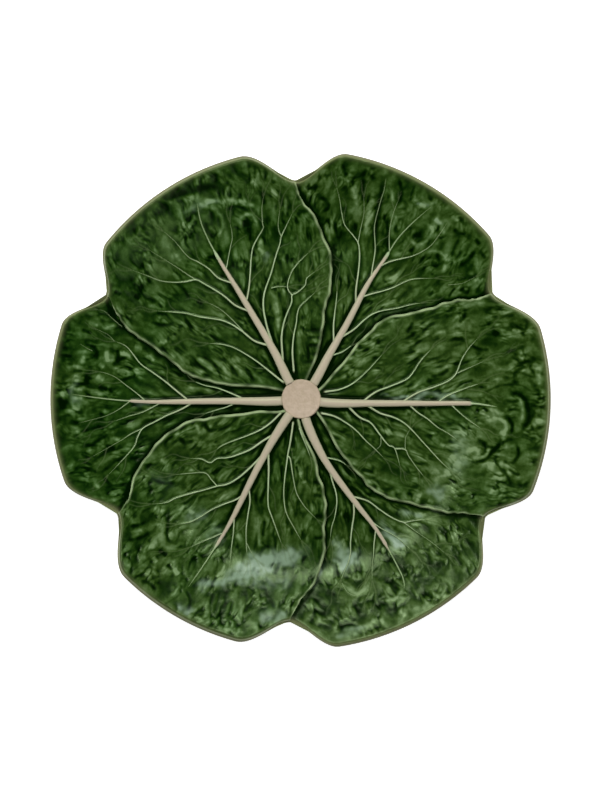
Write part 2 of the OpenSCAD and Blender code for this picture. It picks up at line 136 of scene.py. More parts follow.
# Side veins of each leaf: strength, then the course in shares and degrees from the middle of the leaf. Where
# the first entry of a course is one number, the vein leaves the midrib at that share.
VEIN_SHARES = ((
    (0.8, (0.10, 17), (0.16, 14), (0.22, 17), (0.29, 23), (0.376, 29)),
    (1.0, 0.24, (0.303, 5.4), (0.368, 8.3), (0.434, 10.7), (0.468, 13.8), (0.506, 17.7), (0.562, 21)),
    (1.0, 0.40, (0.469, 3), (0.54, 5.2), (0.598, 7), (0.633, 9.3), (0.669, 14), (0.709, 17), (0.753, 19)),
    (0.5, (0.633, 9.3), (0.689, 10.5), (0.756, 11.8)),
    (0.8, 0.545, (0.594, 1.4), (0.665, 3.7), (0.722, 5)),
    (0.8, (0.10, -35), (0.152, -27.5), (0.208, -28), (0.26, -30), (0.309, -32.8), (0.355, -34),
     (0.409, -35.5)),
    (1.0, 0.18, (0.242, -17), (0.297, -19), (0.345, -24), (0.396, -27.8), (0.428, -28), (0.483, -34.3)),
    (0.6, (0.428, -28), (0.467, -26), (0.491, -28), (0.545, -30.8), (0.587, -32.3)),
    (1.0, 0.255, (0.32, -10), (0.378, -11.2), (0.424, -13), (0.465, -15.7), (0.51, -18.8), (0.564, -21.8),
     (0.62, -24.2), (0.67, -25.6)),
    (0.8, 0.43, (0.471, -6.4), (0.517, -9), (0.564, -11.8), (0.61, -13.2), (0.654, -14.8)),
    (0.7, 0.60, (0.638, -4.7), (0.683, -7.3), (0.735, -9.3)),
    (0.35, (0.467, -26), (0.45, -20.5), (0.455, -16)),
    (0.35, (0.355, -25), (0.37, -30), (0.365, -34)),
), (
    (0.9, 0.25, (0.321, 6), (0.374, 8.7), (0.429, 10.6), (0.463, 11.7)),
    (1.0, 0.435, (0.486, 3), (0.538, 5), (0.592, 6.7), (0.637, 8.3), (0.671, 10), (0.694, 12.6),
     (0.725, 16), (0.77, 17.8), (0.816, 19), (0.868, 20.6)),
    (0.5, (0.671, 10), (0.723, 10.7), (0.787, 11.3), (0.853, 12.8)),
    (0.8, 0.56, (0.603, 1.5), (0.643, 2.7), (0.682, 4), (0.757, 7), (0.841, 8), (0.906, 8.4), (0.95, 9)),
    (0.6, 0.695, (0.758, 2), (0.825, 3.5), (0.892, 4)),
    (0.8, 0.62, (0.659, -2.8), (0.691, -5.2), (0.724, -7.5), (0.764, -9.2), (0.812, -10.2), (0.871, -10),
     (0.921, -9.6)),
    (0.9, 0.475, (0.513, -4), (0.546, -7), (0.583, -9.5), (0.626, -11.3), (0.664, -13.2), (0.726, -17.8)),
    (1.0, 0.285, (0.35, -7), (0.405, -8.5), (0.447, -10), (0.486, -12.7), (0.531, -16.4), (0.582, -19.2),
     (0.619, -21.3)),
    (0.8, 0.205, (0.249, -10.7), (0.297, -13.3)),
    (0.35, (0.751, -22.2), (0.80, -24.3), (0.859, -25)),
), (
    (0.6, 0.60, (0.637, -2.4), (0.676, -5), (0.712, -7), (0.766, -8)),
    (0.9, 0.445, (0.494, -4.7), (0.549, -8), (0.60, -10.3), (0.643, -12.4), (0.677, -15.2), (0.707, -17.5),
     (0.727, -17.6), (0.782, -18.3), (0.829, -19.4)),
    (1.15, 0.22, (0.266, -3), (0.324, -4.7), (0.387, -7), (0.426, -9), (0.463, -11.7), (0.523, -16.6),
     (0.581, -19.7), (0.633, -22.2), (0.66, -23), (0.712, -25.6), (0.753, -27.4)),
    (0.5, (0.66, -23), (0.703, -22.4), (0.771, -23.6)),
    (1.0, 0.14, (0.19, -6.6), (0.257, -12), (0.308, -16.5), (0.347, -20.3), (0.392, -24.3), (0.42, -25),
     (0.432, -28.3), (0.46, -32), (0.488, -32.7), (0.519, -36.4)),
    (0.6, (0.42, -25), (0.456, -23), (0.51, -25.4), (0.544, -28.3), (0.564, -30.2), (0.593, -33)),
    (0.4, (0.463, -15), (0.462, -19), (0.456, -23)),
    (0.8, (0.115, -15), (0.192, -19.4), (0.253, -23), (0.308, -26.3), (0.342, -27.3), (0.37, -29),
     (0.398, -33), (0.436, -37.6)),
    (0.8, 0.54, (0.59, 4.3), (0.646, 5.4), (0.693, 7), (0.735, 8.5), (0.812, 8.7), (0.875, 9.4)),
    (1.0, 0.405, (0.46, 5), (0.512, 6.6), (0.56, 8.3), (0.605, 10), (0.641, 11.4), (0.664, 14.5),
     (0.697, 17.5), (0.743, 20), (0.799, 21.4), (0.856, 22.7)),
    (0.5, (0.641, 11.4), (0.68, 12.4), (0.728, 13.3), (0.792, 14.5), (0.856, 15.6)),
    (1.0, 0.245, (0.299, 8.6), (0.36, 11), (0.408, 12.8), (0.45, 15.2), (0.485, 18), (0.527, 21),
     (0.579, 23.4), (0.634, 26.3), (0.683, 28.6)),
    (0.4, (0.36, 10.5), (0.42, 11), (0.488, 12), (0.54, 14)),
    (0.8, (0.098, 17), (0.165, 18.8), (0.227, 19.6), (0.285, 21), (0.34, 22.7), (0.388, 25.4), (0.436, 29)),
), (
    (0.8, 0.21, (0.328, -7), (0.392, -8), (0.436, -9.3)),
    (1.0, 0.45, (0.508, -4), (0.553, -7.3), (0.606, -10), (0.661, -12.2), (0.696, -14.5), (0.724, -16.2),
     (0.749, -17), (0.785, -17.2)),
    (0.6, 0.625, (0.668, -2.2), (0.711, -4.6), (0.755, -6.7), (0.80, -7.6), (0.827, -7.6)),
    (0.35, (0.78, -22), (0.823, -23), (0.866, -24), (0.895, -23.7)),
    (0.35, (0.789, -17.2), (0.82, -18.4), (0.866, -18.8)),
    (0.35, (0.863, -13), (0.89, -13.4), (0.916, -14)),
    (0.6, 0.56, (0.641, 4.7), (0.698, 5.7), (0.763, 6.8)),
    (0.5, 0.69, (0.738, 3.3), (0.795, 5), (0.902, 6.2)),
    (1.0, 0.43, (0.488, 5), (0.546, 7), (0.597, 8.8), (0.65, 10.5), (0.677, 13), (0.702, 16), (0.765, 19),
     (0.836, 21.5)),
    (0.5, (0.65, 10.5), (0.70, 11.6), (0.749, 13), (0.88, 15.6)),
    (0.7, 0.25, (0.30, 6), (0.35, 7.5), (0.393, 8.7)),
), (
    (0.8, (0.10, -25.5), (0.158, -22), (0.208, -23), (0.26, -25.6), (0.318, -28.2), (0.371, -29.5),
     (0.40, -29)),
    (1.0, 0.165, (0.226, -12.2), (0.285, -15), (0.334, -18.2), (0.381, -21.5), (0.416, -24.7), (0.449, -25),
     (0.471, -29), (0.511, -32)),
    (1.15, 0.24, (0.299, -5.3), (0.357, -7), (0.41, -8.7), (0.456, -11), (0.489, -14), (0.534, -16.7),
     (0.592, -19.7), (0.646, -21.7), (0.687, -22.5), (0.739, -25)),
    (0.6, (0.489, -14), (0.487, -18), (0.49, -22.4), (0.536, -26), (0.592, -29)),
    (0.9, 0.445, (0.485, -3), (0.527, -6.3), (0.576, -9), (0.629, -10.6), (0.672, -12.2), (0.711, -14.7)),
    (0.6, 0.62, (0.66, -2.4), (0.697, -4.5), (0.75, -7)),
    (1.0, 0.24, (0.308, 4.8), (0.36, 8.4), (0.419, 11.3), (0.458, 13.3), (0.494, 16.3), (0.545, 19.8),
     (0.59, 22.3)),
    (0.9, 0.41, (0.46, 3.3), (0.514, 5.3), (0.568, 7), (0.619, 9), (0.67, 11)),
    (0.4, (0.619, 9), (0.645, 11.4), (0.67, 14)),
    (0.8, 0.54, (0.608, 3.2), (0.668, 5), (0.714, 6.5)),
    (0.8, (0.10, 11), (0.18, 15.8), (0.236, 16.6), (0.355, 18.8), (0.423, 20.7), (0.47, 23), (0.523, 27),
     (0.571, 30)),
    (0.6, (0.236, 16.6), (0.248, 19.8), (0.309, 23.7), (0.377, 27), (0.425, 31), (0.453, 33.8),
     (0.492, 37.6)),
    (0.6, (0.118, 26.5), (0.147, 31), (0.19, 36), (0.236, 39)),
), (
    (0.9, 0.295, (0.35, -9.2), (0.401, -9.6), (0.442, -11), (0.493, -14), (0.53, -16.5), (0.576, -18.3)),
    (1.0, 0.46, (0.513, -5.5), (0.561, -8.6), (0.612, -11), (0.651, -12.2), (0.688, -14), (0.718, -16),
     (0.745, -17.5)),
    (0.8, 0.605, (0.655, -3.3), (0.697, -5.3), (0.74, -7.3), (0.785, -8.6)),
    (0.35, (0.76, -17.5), (0.80, -16.5), (0.82, -14.6), (0.81, -12.5), (0.79, -11)),
    (1.0, 0.44, (0.49, 3), (0.546, 5.3), (0.60, 7.3), (0.647, 9.7), (0.669, 12.8), (0.701, 16)),
    (0.5, (0.647, 9.7), (0.712, 11), (0.787, 12.4), (0.849, 13)),
    (0.7, 0.555, (0.614, 1.7), (0.677, 4.6), (0.749, 6)),
    (0.7, 0.25, (0.292, 1.6), (0.325, 4.4)),
))

# Bold features that the photograph shows on each leaf: lift in millimetres (creases are negative), half width
# in millimetres, then the course in photo pixels.
PHOTO_MARKS = ((
    (-0.55, 0.95, (508, 393), (520, 395), (527, 403), (529, 413), (527, 423), (522.5, 432)),
    (-0.22, 0.5, (482, 393), (490, 389), (503, 385), (518, 385), (532, 391)),
    (-0.5, 0.85, (507, 416), (512, 425), (511, 433)),
    (0.48, 1.1, (490, 417), (502, 420), (506, 428), (502, 437)),
    (0.3, 1.0, (514, 394), (521, 401), (523, 413), (520, 424)),
    (-0.55, 1.0, (500, 438), (498, 447), (492, 453), (482, 461), (474, 461)),
    (-0.42, 0.8, (479, 441), (485, 445), (485, 452), (478, 457)),
    (0.48, 1.2, (468, 450), (475, 449), (480, 452)), (0.4, 1.1, (472, 458), (484, 456), (490, 448)),
    (-0.42, 0.8, (517, 445), (518, 455), (513, 463)), (-0.42, 0.8, (508, 468), (514, 473), (521, 475)),
    (-0.38, 0.8, (508, 322), (517, 326), (525, 330), (527, 323), (520, 320)),
    (0.3, 0.9, (512, 329), (519, 333)), (-0.38, 0.8, (516, 364), (525, 362), (536, 359)),
    (-0.3, 0.7, (506, 353), (515, 350), (526, 346)), (-0.3, 0.8, (508, 374), (520, 369), (533, 362)),
    (-0.38, 0.8, (446, 341), (456, 339), (466, 341)), (-0.42, 0.8, (407, 333), (410, 328), (413, 322)),
    (-0.35, 0.8, (459, 323), (463, 318), (465, 310)), (-0.35, 0.9, (430, 378), (441, 374), (449, 368)),
    (-0.3, 0.8, (470, 345), (482, 350), (490, 349)), (-0.35, 0.8, (498, 467), (507, 477), (512, 488)),
    (0.4, 1.0, (450, 455), (456, 459)), (0.35, 1.0, (440, 443), (445, 447)),
    (0.4, 1.1, (414, 493), (421, 497)), (0.35, 1.0, (427, 500), (433, 504)),
    (0.35, 1.1, (499, 431), (505, 435)), (0.35, 1.0, (436, 333), (446, 331)),
    (0.3, 1.2, (538, 372), (540, 385)),
), (
    (0.38, 1.0, (408, 236.5), (416.5, 245), (428, 240), (433, 230), (428, 223)),
    (-0.5, 1.1, (415, 234), (421, 236)),
    (0.36, 0.9, (423, 253), (438, 251.5), (446, 258), (445, 268), (440, 273)),
    (-0.4, 0.9, (430, 262), (437, 264)), (0.16, 0.8, (430, 288), (435, 293), (430, 298), (425, 293)),
    (0.16, 0.8, (413, 287.5), (417, 291.5), (413, 295.5), (409, 291.5)),
    (0.42, 1.3, (419, 203), (427, 207)), (0.42, 1.3, (434, 219), (442, 224)),
    (0.35, 1.1, (452, 215), (458, 222)), (-0.45, 0.9, (454, 229), (459, 235)),
    (-0.45, 0.9, (475, 239), (480, 245)), (-0.45, 0.9, (480, 251), (486, 259)),
    (-0.45, 0.9, (459, 267), (468, 260), (476, 250)),
    (-0.4, 1.2, (383, 178), (380, 203), (376, 225), (373, 253)),
    (0.22, 1.5, (374, 190), (370, 212), (367, 240)), (-0.35, 0.9, (388, 215), (387, 250)),
    (-0.35, 0.9, (343, 163), (346, 178)), (-0.35, 1.1, (364, 167), (362, 205)),
    (0.22, 1.5, (356, 192), (357, 226)), (0.22, 1.4, (393, 208), (391, 238)),
    (-0.38, 0.8, (315, 195), (325, 200), (328, 207), (321, 213)),
    (-0.35, 0.8, (398, 178), (402, 192), (399, 206)), (0.35, 1.0, (392, 188), (393, 203)),
    (0.3, 1.2, (352, 186), (354, 200)), (-0.35, 0.8, (334, 222), (338, 240)),
    (0.3, 1.0, (329, 226), (330, 243)), (-0.3, 0.8, (440, 192), (448, 200)),
    (-0.35, 0.8, (462, 279), (478, 276)),
), (
    (0.42, 1.1, (238, 223), (243, 216.5), (250, 215), (256.5, 221.5), (255, 230)),
    (-0.55, 1.2, (245, 220), (248, 227)),
    (0.3, 0.8, (215, 213), (221.5, 216.5), (222.5, 228), (216.5, 236.5)),
    (-0.4, 0.9, (227, 210), (236, 207), (247, 209)), (0.28, 1.2, (199, 205), (208, 201), (217, 200)),
    (0.28, 1.3, (226, 199), (238, 200)), (0.28, 1.3, (246, 203), (257, 208)),
    (-0.4, 1.5, (160, 199), (180, 193), (203, 188), (226, 187)),
    (-0.35, 1.2, (124, 228), (134, 214), (145, 206)), (0.32, 1.2, (196, 358), (206, 363), (214, 372)),
    (-0.35, 0.8, (201, 356), (212, 362), (220, 372)), (0.32, 1.2, (209, 358), (221, 365), (230, 377)),
    (-0.35, 0.8, (216, 357), (229, 364), (239, 378)), (0.32, 1.2, (224, 360), (237, 367), (247, 381)),
    (-0.35, 0.8, (233, 362), (247, 370), (256, 384)), (0.32, 1.2, (241, 366), (255, 374), (265, 388)),
    (-0.35, 0.8, (305, 331), (315, 329), (325, 331)), (-0.35, 0.8, (307, 338), (317, 337), (326, 340)),
    (-0.35, 0.8, (307, 346), (316, 345), (325, 348)), (-0.35, 0.8, (306, 354), (315, 354), (322, 357)),
    (-0.3, 0.8, (305, 362), (313, 362), (319, 364)), (-0.5, 1.0, (115, 291), (121, 295)),
    (-0.5, 1.0, (134, 295), (140, 299)), (-0.5, 1.0, (197, 300), (203, 304)),
    (0.35, 1.5, (276.5, 299), (278, 316), (280, 334)), (0.4, 1.2, (258, 247), (264, 255)),
    (-0.4, 0.9, (250, 248), (255, 257)), (-0.4, 0.9, (206, 258), (215, 256), (222, 250)),
    (0.3, 1.0, (175, 254), (180, 262)), (-0.35, 0.8, (176, 283), (184, 289), (190, 300)),
    (-0.3, 0.8, (142, 258), (152, 264)), (0.35, 1.0, (158, 341), (165, 345)),
    (-0.35, 0.8, (150, 322), (163, 325), (176, 324)), (-0.3, 0.8, (205, 222), (208, 236)),
    (-0.35, 1.0, (262, 190), (265, 205)), (-0.3, 0.9, (280, 192), (283, 208)),
), (
    (0.42, 1.4, (106.5, 350), (108.5, 363)), (0.38, 1.4, (96, 375), (104, 381)),
    (0.36, 1.3, (98, 363), (104, 368)), (0.36, 1.2, (134.5, 345), (143.5, 349.5)),
    (0.36, 1.2, (149, 354), (153.5, 361.5)), (0.32, 1.5, (84, 354), (82, 366)),
    (0.3, 1.4, (116, 371), (126, 375)), (-0.4, 1.0, (117, 349), (119, 362)),
    (0.3, 1.3, (122, 351), (131, 358)), (-0.42, 1.1, (98, 386), (108, 389)),
    (0.26, 1.4, (96, 394), (110, 393)), (-0.32, 0.8, (84, 447), (98, 440), (110, 433)),
    (-0.32, 0.8, (92, 462), (106, 452), (118, 446)), (0.24, 1.1, (88, 454), (102, 446), (114, 440)),
    (-0.32, 0.8, (100, 473), (114, 463), (125, 455)), (0.24, 1.1, (97, 466), (111, 457), (122, 449)),
    (-0.3, 0.8, (72, 437), (88, 430), (100, 426)), (-0.5, 1.0, (86.5, 375), (86.5, 385)),
    (0.32, 0.8, (72, 365), (79, 368)), (0.32, 0.8, (74, 376), (82, 378)), (0.32, 0.8, (73, 388), (83, 390)),
    (0.3, 0.8, (74, 398), (83, 399)), (-0.32, 0.7, (72, 371), (84, 372)),
    (-0.32, 0.7, (72, 383), (84, 384)), (0.4, 1.1, (117.5, 492), (122.5, 494.5)),
    (0.4, 1.1, (127.5, 478), (132.5, 482)), (-0.35, 0.7, (80, 454), (91, 459)),
    (-0.35, 0.7, (83, 462), (94, 466)), (-0.35, 0.7, (86, 470), (97, 472)),
    (-0.4, 0.9, (112, 366), (120, 360), (128, 358)), (-0.4, 0.8, (92, 345), (97, 352), (96, 360)),
    (-0.35, 0.8, (122, 380), (134, 377)), (0.35, 1.0, (112, 437), (120, 441)),
    (-0.4, 0.9, (105, 445), (116, 450)), (-0.35, 0.9, (140, 423), (150, 420), (158, 421)),
    (-0.4, 0.9, (70, 420), (80, 424)), (0.3, 1.0, (74, 431), (84, 436)), (-0.3, 0.8, (96, 425), (104, 430)),
    (-0.4, 0.9, (104, 478), (112, 487)), (0.35, 1.0, (93, 481), (100, 489)),
    (-0.35, 0.8, (82, 330), (92, 333)), (0.3, 1.0, (88, 322), (99, 326)),
), (
    (0.22, 1.1, (164, 506.5), (163, 526.5), (161.5, 540), (168, 548), (181, 548)),
    (-0.4, 0.9, (169, 508), (168, 525), (168, 538), (175, 543)), (0.42, 1.2, (188.5, 509), (194.5, 514)),
    (0.55, 1.3, (173.5, 568), (179.5, 574.5)), (0.45, 1.1, (152.5, 557), (157.5, 562.5)),
    (-0.5, 1.0, (159, 550), (167, 556)), (-0.5, 1.0, (167, 564), (172.5, 570)),
    (-0.26, 1.0, (227, 586), (225, 604), (221, 622)), (-0.2, 0.9, (244, 582), (247, 600), (245, 616)),
    (-0.26, 1.0, (264, 584), (268, 596), (275, 610)), (-0.22, 0.9, (213, 592), (209, 610)),
    (0.2, 1.1, (236, 588), (235, 612)), (0.18, 1.0, (256, 588), (259, 606)),
    (0.3, 1.1, (290.5, 448), (291.5, 451)), (0.3, 1.1, (293, 456), (294, 459)),
    (0.3, 1.1, (296, 464), (297, 467)), (0.3, 1.1, (300, 472), (301, 475)),
    (0.3, 1.1, (304, 480), (305, 483)), (0.32, 0.8, (260, 518), (259, 541.5), (265, 546)),
    (-0.35, 0.7, (264, 520), (263, 537)), (-0.4, 0.8, (312, 482), (321, 484)),
    (-0.4, 0.8, (313, 495), (322, 495)), (-0.4, 0.8, (315, 516), (324, 517)),
    (-0.4, 0.8, (314, 538), (323, 538)), (-0.4, 0.9, (203, 420), (209, 430), (217, 428)),
    (0.35, 1.0, (196, 424), (200, 434)), (-0.4, 0.9, (178, 438), (185, 443), (195, 440)),
    (0.35, 1.2, (160, 459), (168, 463)), (-0.35, 0.8, (150, 478), (163, 483), (178, 482)),
    (-0.4, 0.8, (128, 540), (140, 538), (151, 532)), (-0.35, 0.8, (127, 527), (141, 524), (152, 518)),
    (0.3, 0.9, (130, 533), (143, 530)), (-0.4, 0.9, (140, 580), (150, 584), (156, 592)),
    (0.35, 1.0, (135, 588), (146, 594)), (0.3, 1.0, (207, 600), (208, 622)),
    (0.3, 1.0, (241, 596), (241, 622)), (-0.35, 0.8, (186, 590), (190, 600), (188, 612)),
), (
    (0.45, 1.1, (340, 583), (348, 589), (356.5, 594), (363, 590), (368, 583)),
    (0.42, 1.0, (403, 588), (396.5, 598), (383, 601.5)), (-0.25, 1.6, (326, 591), (336, 595)),
    (-0.25, 1.4, (315, 621.5), (328, 628), (338, 615)), (-0.22, 1.2, (350, 615), (356, 621)),
    (-0.25, 1.0, (436, 528), (446, 533)), (-0.25, 1.0, (464, 538), (475, 547)),
    (-0.3, 1.4, (386.5, 576), (386.5, 584)), (-0.22, 1.1, (412, 574), (418, 576.5), (418, 583)),
    (0.32, 1.3, (451.5, 540), (458.5, 543.5)), (0.36, 1.1, (333.5, 543), (339.5, 547)),
    (-0.22, 1.2, (345, 578), (356, 585), (364, 577)), (-0.25, 1.1, (405, 600), (398, 608), (386, 611)),
    (-0.2, 1.1, (425, 560), (433, 566), (444, 565)), (0.25, 1.2, (430, 556), (440, 559)),
    (0.22, 1.2, (441, 580), (452, 583)), (-0.25, 1.0, (330, 560), (335, 570), (333, 580)),
    (0.28, 1.1, (338, 563), (341, 573)), (-0.22, 1.2, (455, 557), (462, 566)),
))

# Broad pools and thin stretches of glaze that the photograph shows on each leaf, with painted highlights laid
# in as thin stretches where a softbox is reflected in the bend and flare: how much more thinly the glaze lies
# there (pools are negative), half width in millimetres, then the course in photo pixels.
PHOTO_TONES_AND_HIGHLIGHTS = ((
    (0.24, 7.0, (455, 420), (464, 450), (450, 482)), (0.16, 6.0, (430, 478), (448, 500)),
    (0.20, 2.6, (380, 391), (425, 390), (466, 390)), (-0.10, 7.0, (350, 440), (405, 462)),
    (-0.08, 8.0, (390, 352), (440, 332)), (0.08, 6.0, (505, 352), (526, 380)),
    (0.18, 7.0, (474, 470), (522, 466)), (-0.14, 3.0, (350, 378), (395, 372)),
), (
    (0.16, 2.6, (398, 200), (424, 202), (442, 222), (448, 250)), (0.10, 5.0, (466, 250), (480, 282)),
    (0.10, 4.0, (450, 290), (484, 296)), (-0.16, 7.0, (342, 195), (356, 250)),
    (-0.18, 3.0, (412, 234), (424, 236)), (-0.10, 4.5, (352, 170), (374, 176)),
    (-0.08, 6.0, (400, 175), (440, 195)), (-0.10, 5.0, (400, 262), (430, 275)),
), (
    (0.24, 2.4, (180, 216), (198, 203), (225, 202), (250, 206), (258, 216)),
    (-0.20, 4.0, (118, 262), (132, 232), (160, 207), (190, 187), (225, 174), (248, 180)),
    (0.08, 7.0, (140, 258), (172, 248)), (-0.16, 5.0, (240, 232), (262, 226), (290, 236)),
    (-0.14, 4.0, (166, 306), (188, 322)), (-0.08, 6.0, (225, 262), (230, 300)),
    (0.06, 5.0, (200, 270), (180, 290)), (-0.12, 4.0, (128, 285), (150, 315)),
), (
    (-0.22, 3.2, (66, 322), (61, 360), (59, 400), (63, 455)),
    (0.18, 2.8, (88, 332), (78, 362), (74, 395), (78, 432)),
    (-0.20, 2.8, (96, 350), (88, 378), (92, 405), (104, 418)), (0.10, 4.0, (110, 350), (130, 362)),
    (-0.10, 5.0, (95, 445), (120, 470)), (-0.12, 4.0, (130, 440), (160, 430)),
    (-0.10, 4.0, (120, 330), (150, 345)),
), (
    (0.14, 7.0, (166, 500), (190, 522), (214, 545)), (0.24, 5.5, (200, 577), (240, 565), (284, 556)),
    (-0.14, 4.5, (190, 592), (240, 592), (275, 588)), (-0.12, 4.5, (140, 545), (150, 575), (180, 600)),
    (0.24, 3.2, (215, 628), (245, 632), (272, 620), (288, 606)), (-0.14, 7.0, (190, 440), (175, 462)),
    (0.22, 3.0, (141, 457), (152, 450)), (-0.10, 5.0, (128, 520), (132, 545)),
    (-0.08, 5.0, (235, 480), (262, 520)),
), (
    (0.22, 6.5, (304, 576), (334, 568), (365, 556)), (0.22, 6.0, (384, 546), (415, 520), (446, 508)),
    (-0.20, 3.6, (322, 592), (326, 606), (336, 616)), (-0.18, 4.0, (352, 612), (384, 610)),
    (-0.24, 4.4, (384, 556), (402, 564), (410, 574)), (-0.16, 4.5, (446, 556), (434, 580), (412, 596)),
    (0.22, 3.4, (328, 634), (366, 628), (404, 614), (440, 590)), (-0.12, 4.0, (330, 540), (345, 500)),
    (-0.10, 4.0, (392, 500), (370, 470)), (-0.10, 4.0, (462, 530), (456, 560)),
))

# Pale patches, mostly in the bend of the well: partly glaze that lies thick and clouded, partly a painted
# highlight where a softbox is reflected. Strength, half width in millimetres, then the course in photo
# pixels.
PHOTO_MILK_AND_HIGHLIGHTS = ((
    (0.22, 5.0, (452, 430), (462, 452), (452, 480)), (0.4, 3.6, (428, 484), (444, 500)),
    (0.5, 1.6, (380, 397), (425, 396), (466, 396)),
), (
    (0.3, 1.6, (416, 203), (428, 208)), (0.3, 1.6, (434, 220), (440, 226)),
), (
    (0.25, 2.0, (182, 214), (200, 203), (226, 201)), (0.35, 1.6, (262, 252), (266, 262)),
), (
    (0.25, 2.4, (76, 376), (74, 392), (76, 408)), (0.25, 2.0, (134, 402), (150, 404)),
), (
    (0.55, 2.8, (196, 586), (222, 582), (250, 574)), (1.0, 4.6, (234, 574), (262, 563), (304, 552)),
    (0.3, 4.0, (248, 584), (294, 579)), (0.3, 4.0, (184, 508), (204, 524)),
    (0.2, 4.0, (208, 530), (226, 544)), (0.16, 5.0, (148, 474), (176, 484)),
    (0.5, 2.2, (176, 605), (194, 615)), (0.5, 2.8, (258, 622), (286, 610)),
), (
    (0.85, 4.4, (303, 580), (320, 566)), (0.9, 4.6, (336, 568), (358, 552)),
    (0.9, 3.6, (381, 524), (402, 550)), (0.35, 2.4, (398, 514), (426, 514)),
    (0.35, 2.2, (336, 634), (366, 628)), (0.3, 3.0, (334, 540), (342, 552)),
))


def rgba(hex_colour: str) -> tuple[float, float, float, float]:
    """Turns an sRGB hex colour into the linear colour that shaders take.

    Args:
        hex_colour: six hex digits after a hash sign.

    Returns:
        Red, green and blue in linear light, and an alpha of 1.
    """
    parts = [int(hex_colour[k:k + 2], 16) / 255 for k in (1, 3, 5)]
    red, green, blue = [c / 12.92 if c <= 0.04045 else ((c + 0.055) / 1.055) ** 2.4 for c in parts]
    return red, green, blue, 1.0


def ease(u: Array) -> Array:
    """Eases from 0 to 1 with level ends: three u squared less two u cubed, held outside that range."""
    v = np.clip(u, 0.0, 1.0)
    return v * v * (3 - 2 * v)


def bell(u: Array) -> Array:
    """Bell curve: 1 at 0, falling off as e to the minus u squared."""
    return np.exp(-u * u)


def above(low: float, u: Array) -> Array:
    """Maps 0 to 1 onto low to 1."""
    return low + (1 - low) * u


def spline(points: Array, steps: int) -> Array:
    """Runs a Catmull-Rom curve through points.

    Each span is the cubic that leaves a point along the line between its two neighbours.

    Args:
        points: array of n points, one a row.
        steps: how many points each span gets.

    Returns:
        Array of (n - 1) * steps + 1 points.
    """
    padded = np.vstack([points[:1], points, points[-1:]])
    a, b, c, d = (padded[k:len(padded) - 3 + k, None, :] for k in range(4))
    t = (np.arange(steps) / steps)[None, :, None]
    square, cube = 2 * a - 5 * b + 4 * c - d, 3 * b - a - 3 * c + d
    curve = 0.5 * (2 * b + (c - a) * t + square * t ** 2 + cube * t ** 3)
    return np.vstack([curve.reshape(-1, points.shape[1]), points[-1:]])


def polar(r: Array, deg: Array) -> Array:
    """Places points at a radius and an angle: x is r times the cosine, y is r times the sine."""
    turn = np.radians(deg)
    return np.stack([r * np.cos(turn), r * np.sin(turn)], axis=-1)


def run_along(course: Array) -> Array:
    """Distance along a course to each of its points, from 0 at the first."""
    return np.concatenate([[0], np.cumsum(np.hypot(*np.diff(course, axis=0).T))])


@dataclass(frozen=True)
class GradientNoise:
    """Smooth noise from random slopes at the corners of a square lattice."""

    seed: int
    size: int = 256
    gain: float = 1.5

    def sample(self, x: Array, y: Array) -> Array:
        """Samples the noise.

        The slope at each of the four corners round a point gives a height there, and the four heights are
        mixed with the quintic fade of the point's place in its square.

        Args:
            x, y: places along both axes, in lattice cells.

        Returns:
            Heights, mostly between -1 and 1.
        """
        rng = np.random.default_rng(self.seed)
        order = rng.permutation(self.size)
        turns = rng.uniform(0, 2 * np.pi, self.size)
        left, low = np.floor(x).astype(int), np.floor(y).astype(int)
        fx, fy = x - left, y - low
        u, v = (f ** 3 * (f * (f * 6 - 15) + 10) for f in (fx, fy))
        corners = []
        for dy in (0, 1):
            for dx in (0, 1):
                pick = order[(order[(left + dx) % self.size] + low + dy) % self.size]
                corners.append(np.cos(turns[pick]) * (fx - dx) + np.sin(turns[pick]) * (fy - dy))
        bottom = corners[0] + u * (corners[1] - corners[0])
        top = corners[2] + u * (corners[3] - corners[2])
        return self.gain * (bottom + v * (top - bottom))

    def grains(self, x: Array, y: Array, size_mm: float) -> Array:
        """Samples the noise at places in millimetres, with lattice cells of a size."""
        return self.sample(x / size_mm, y / size_mm)


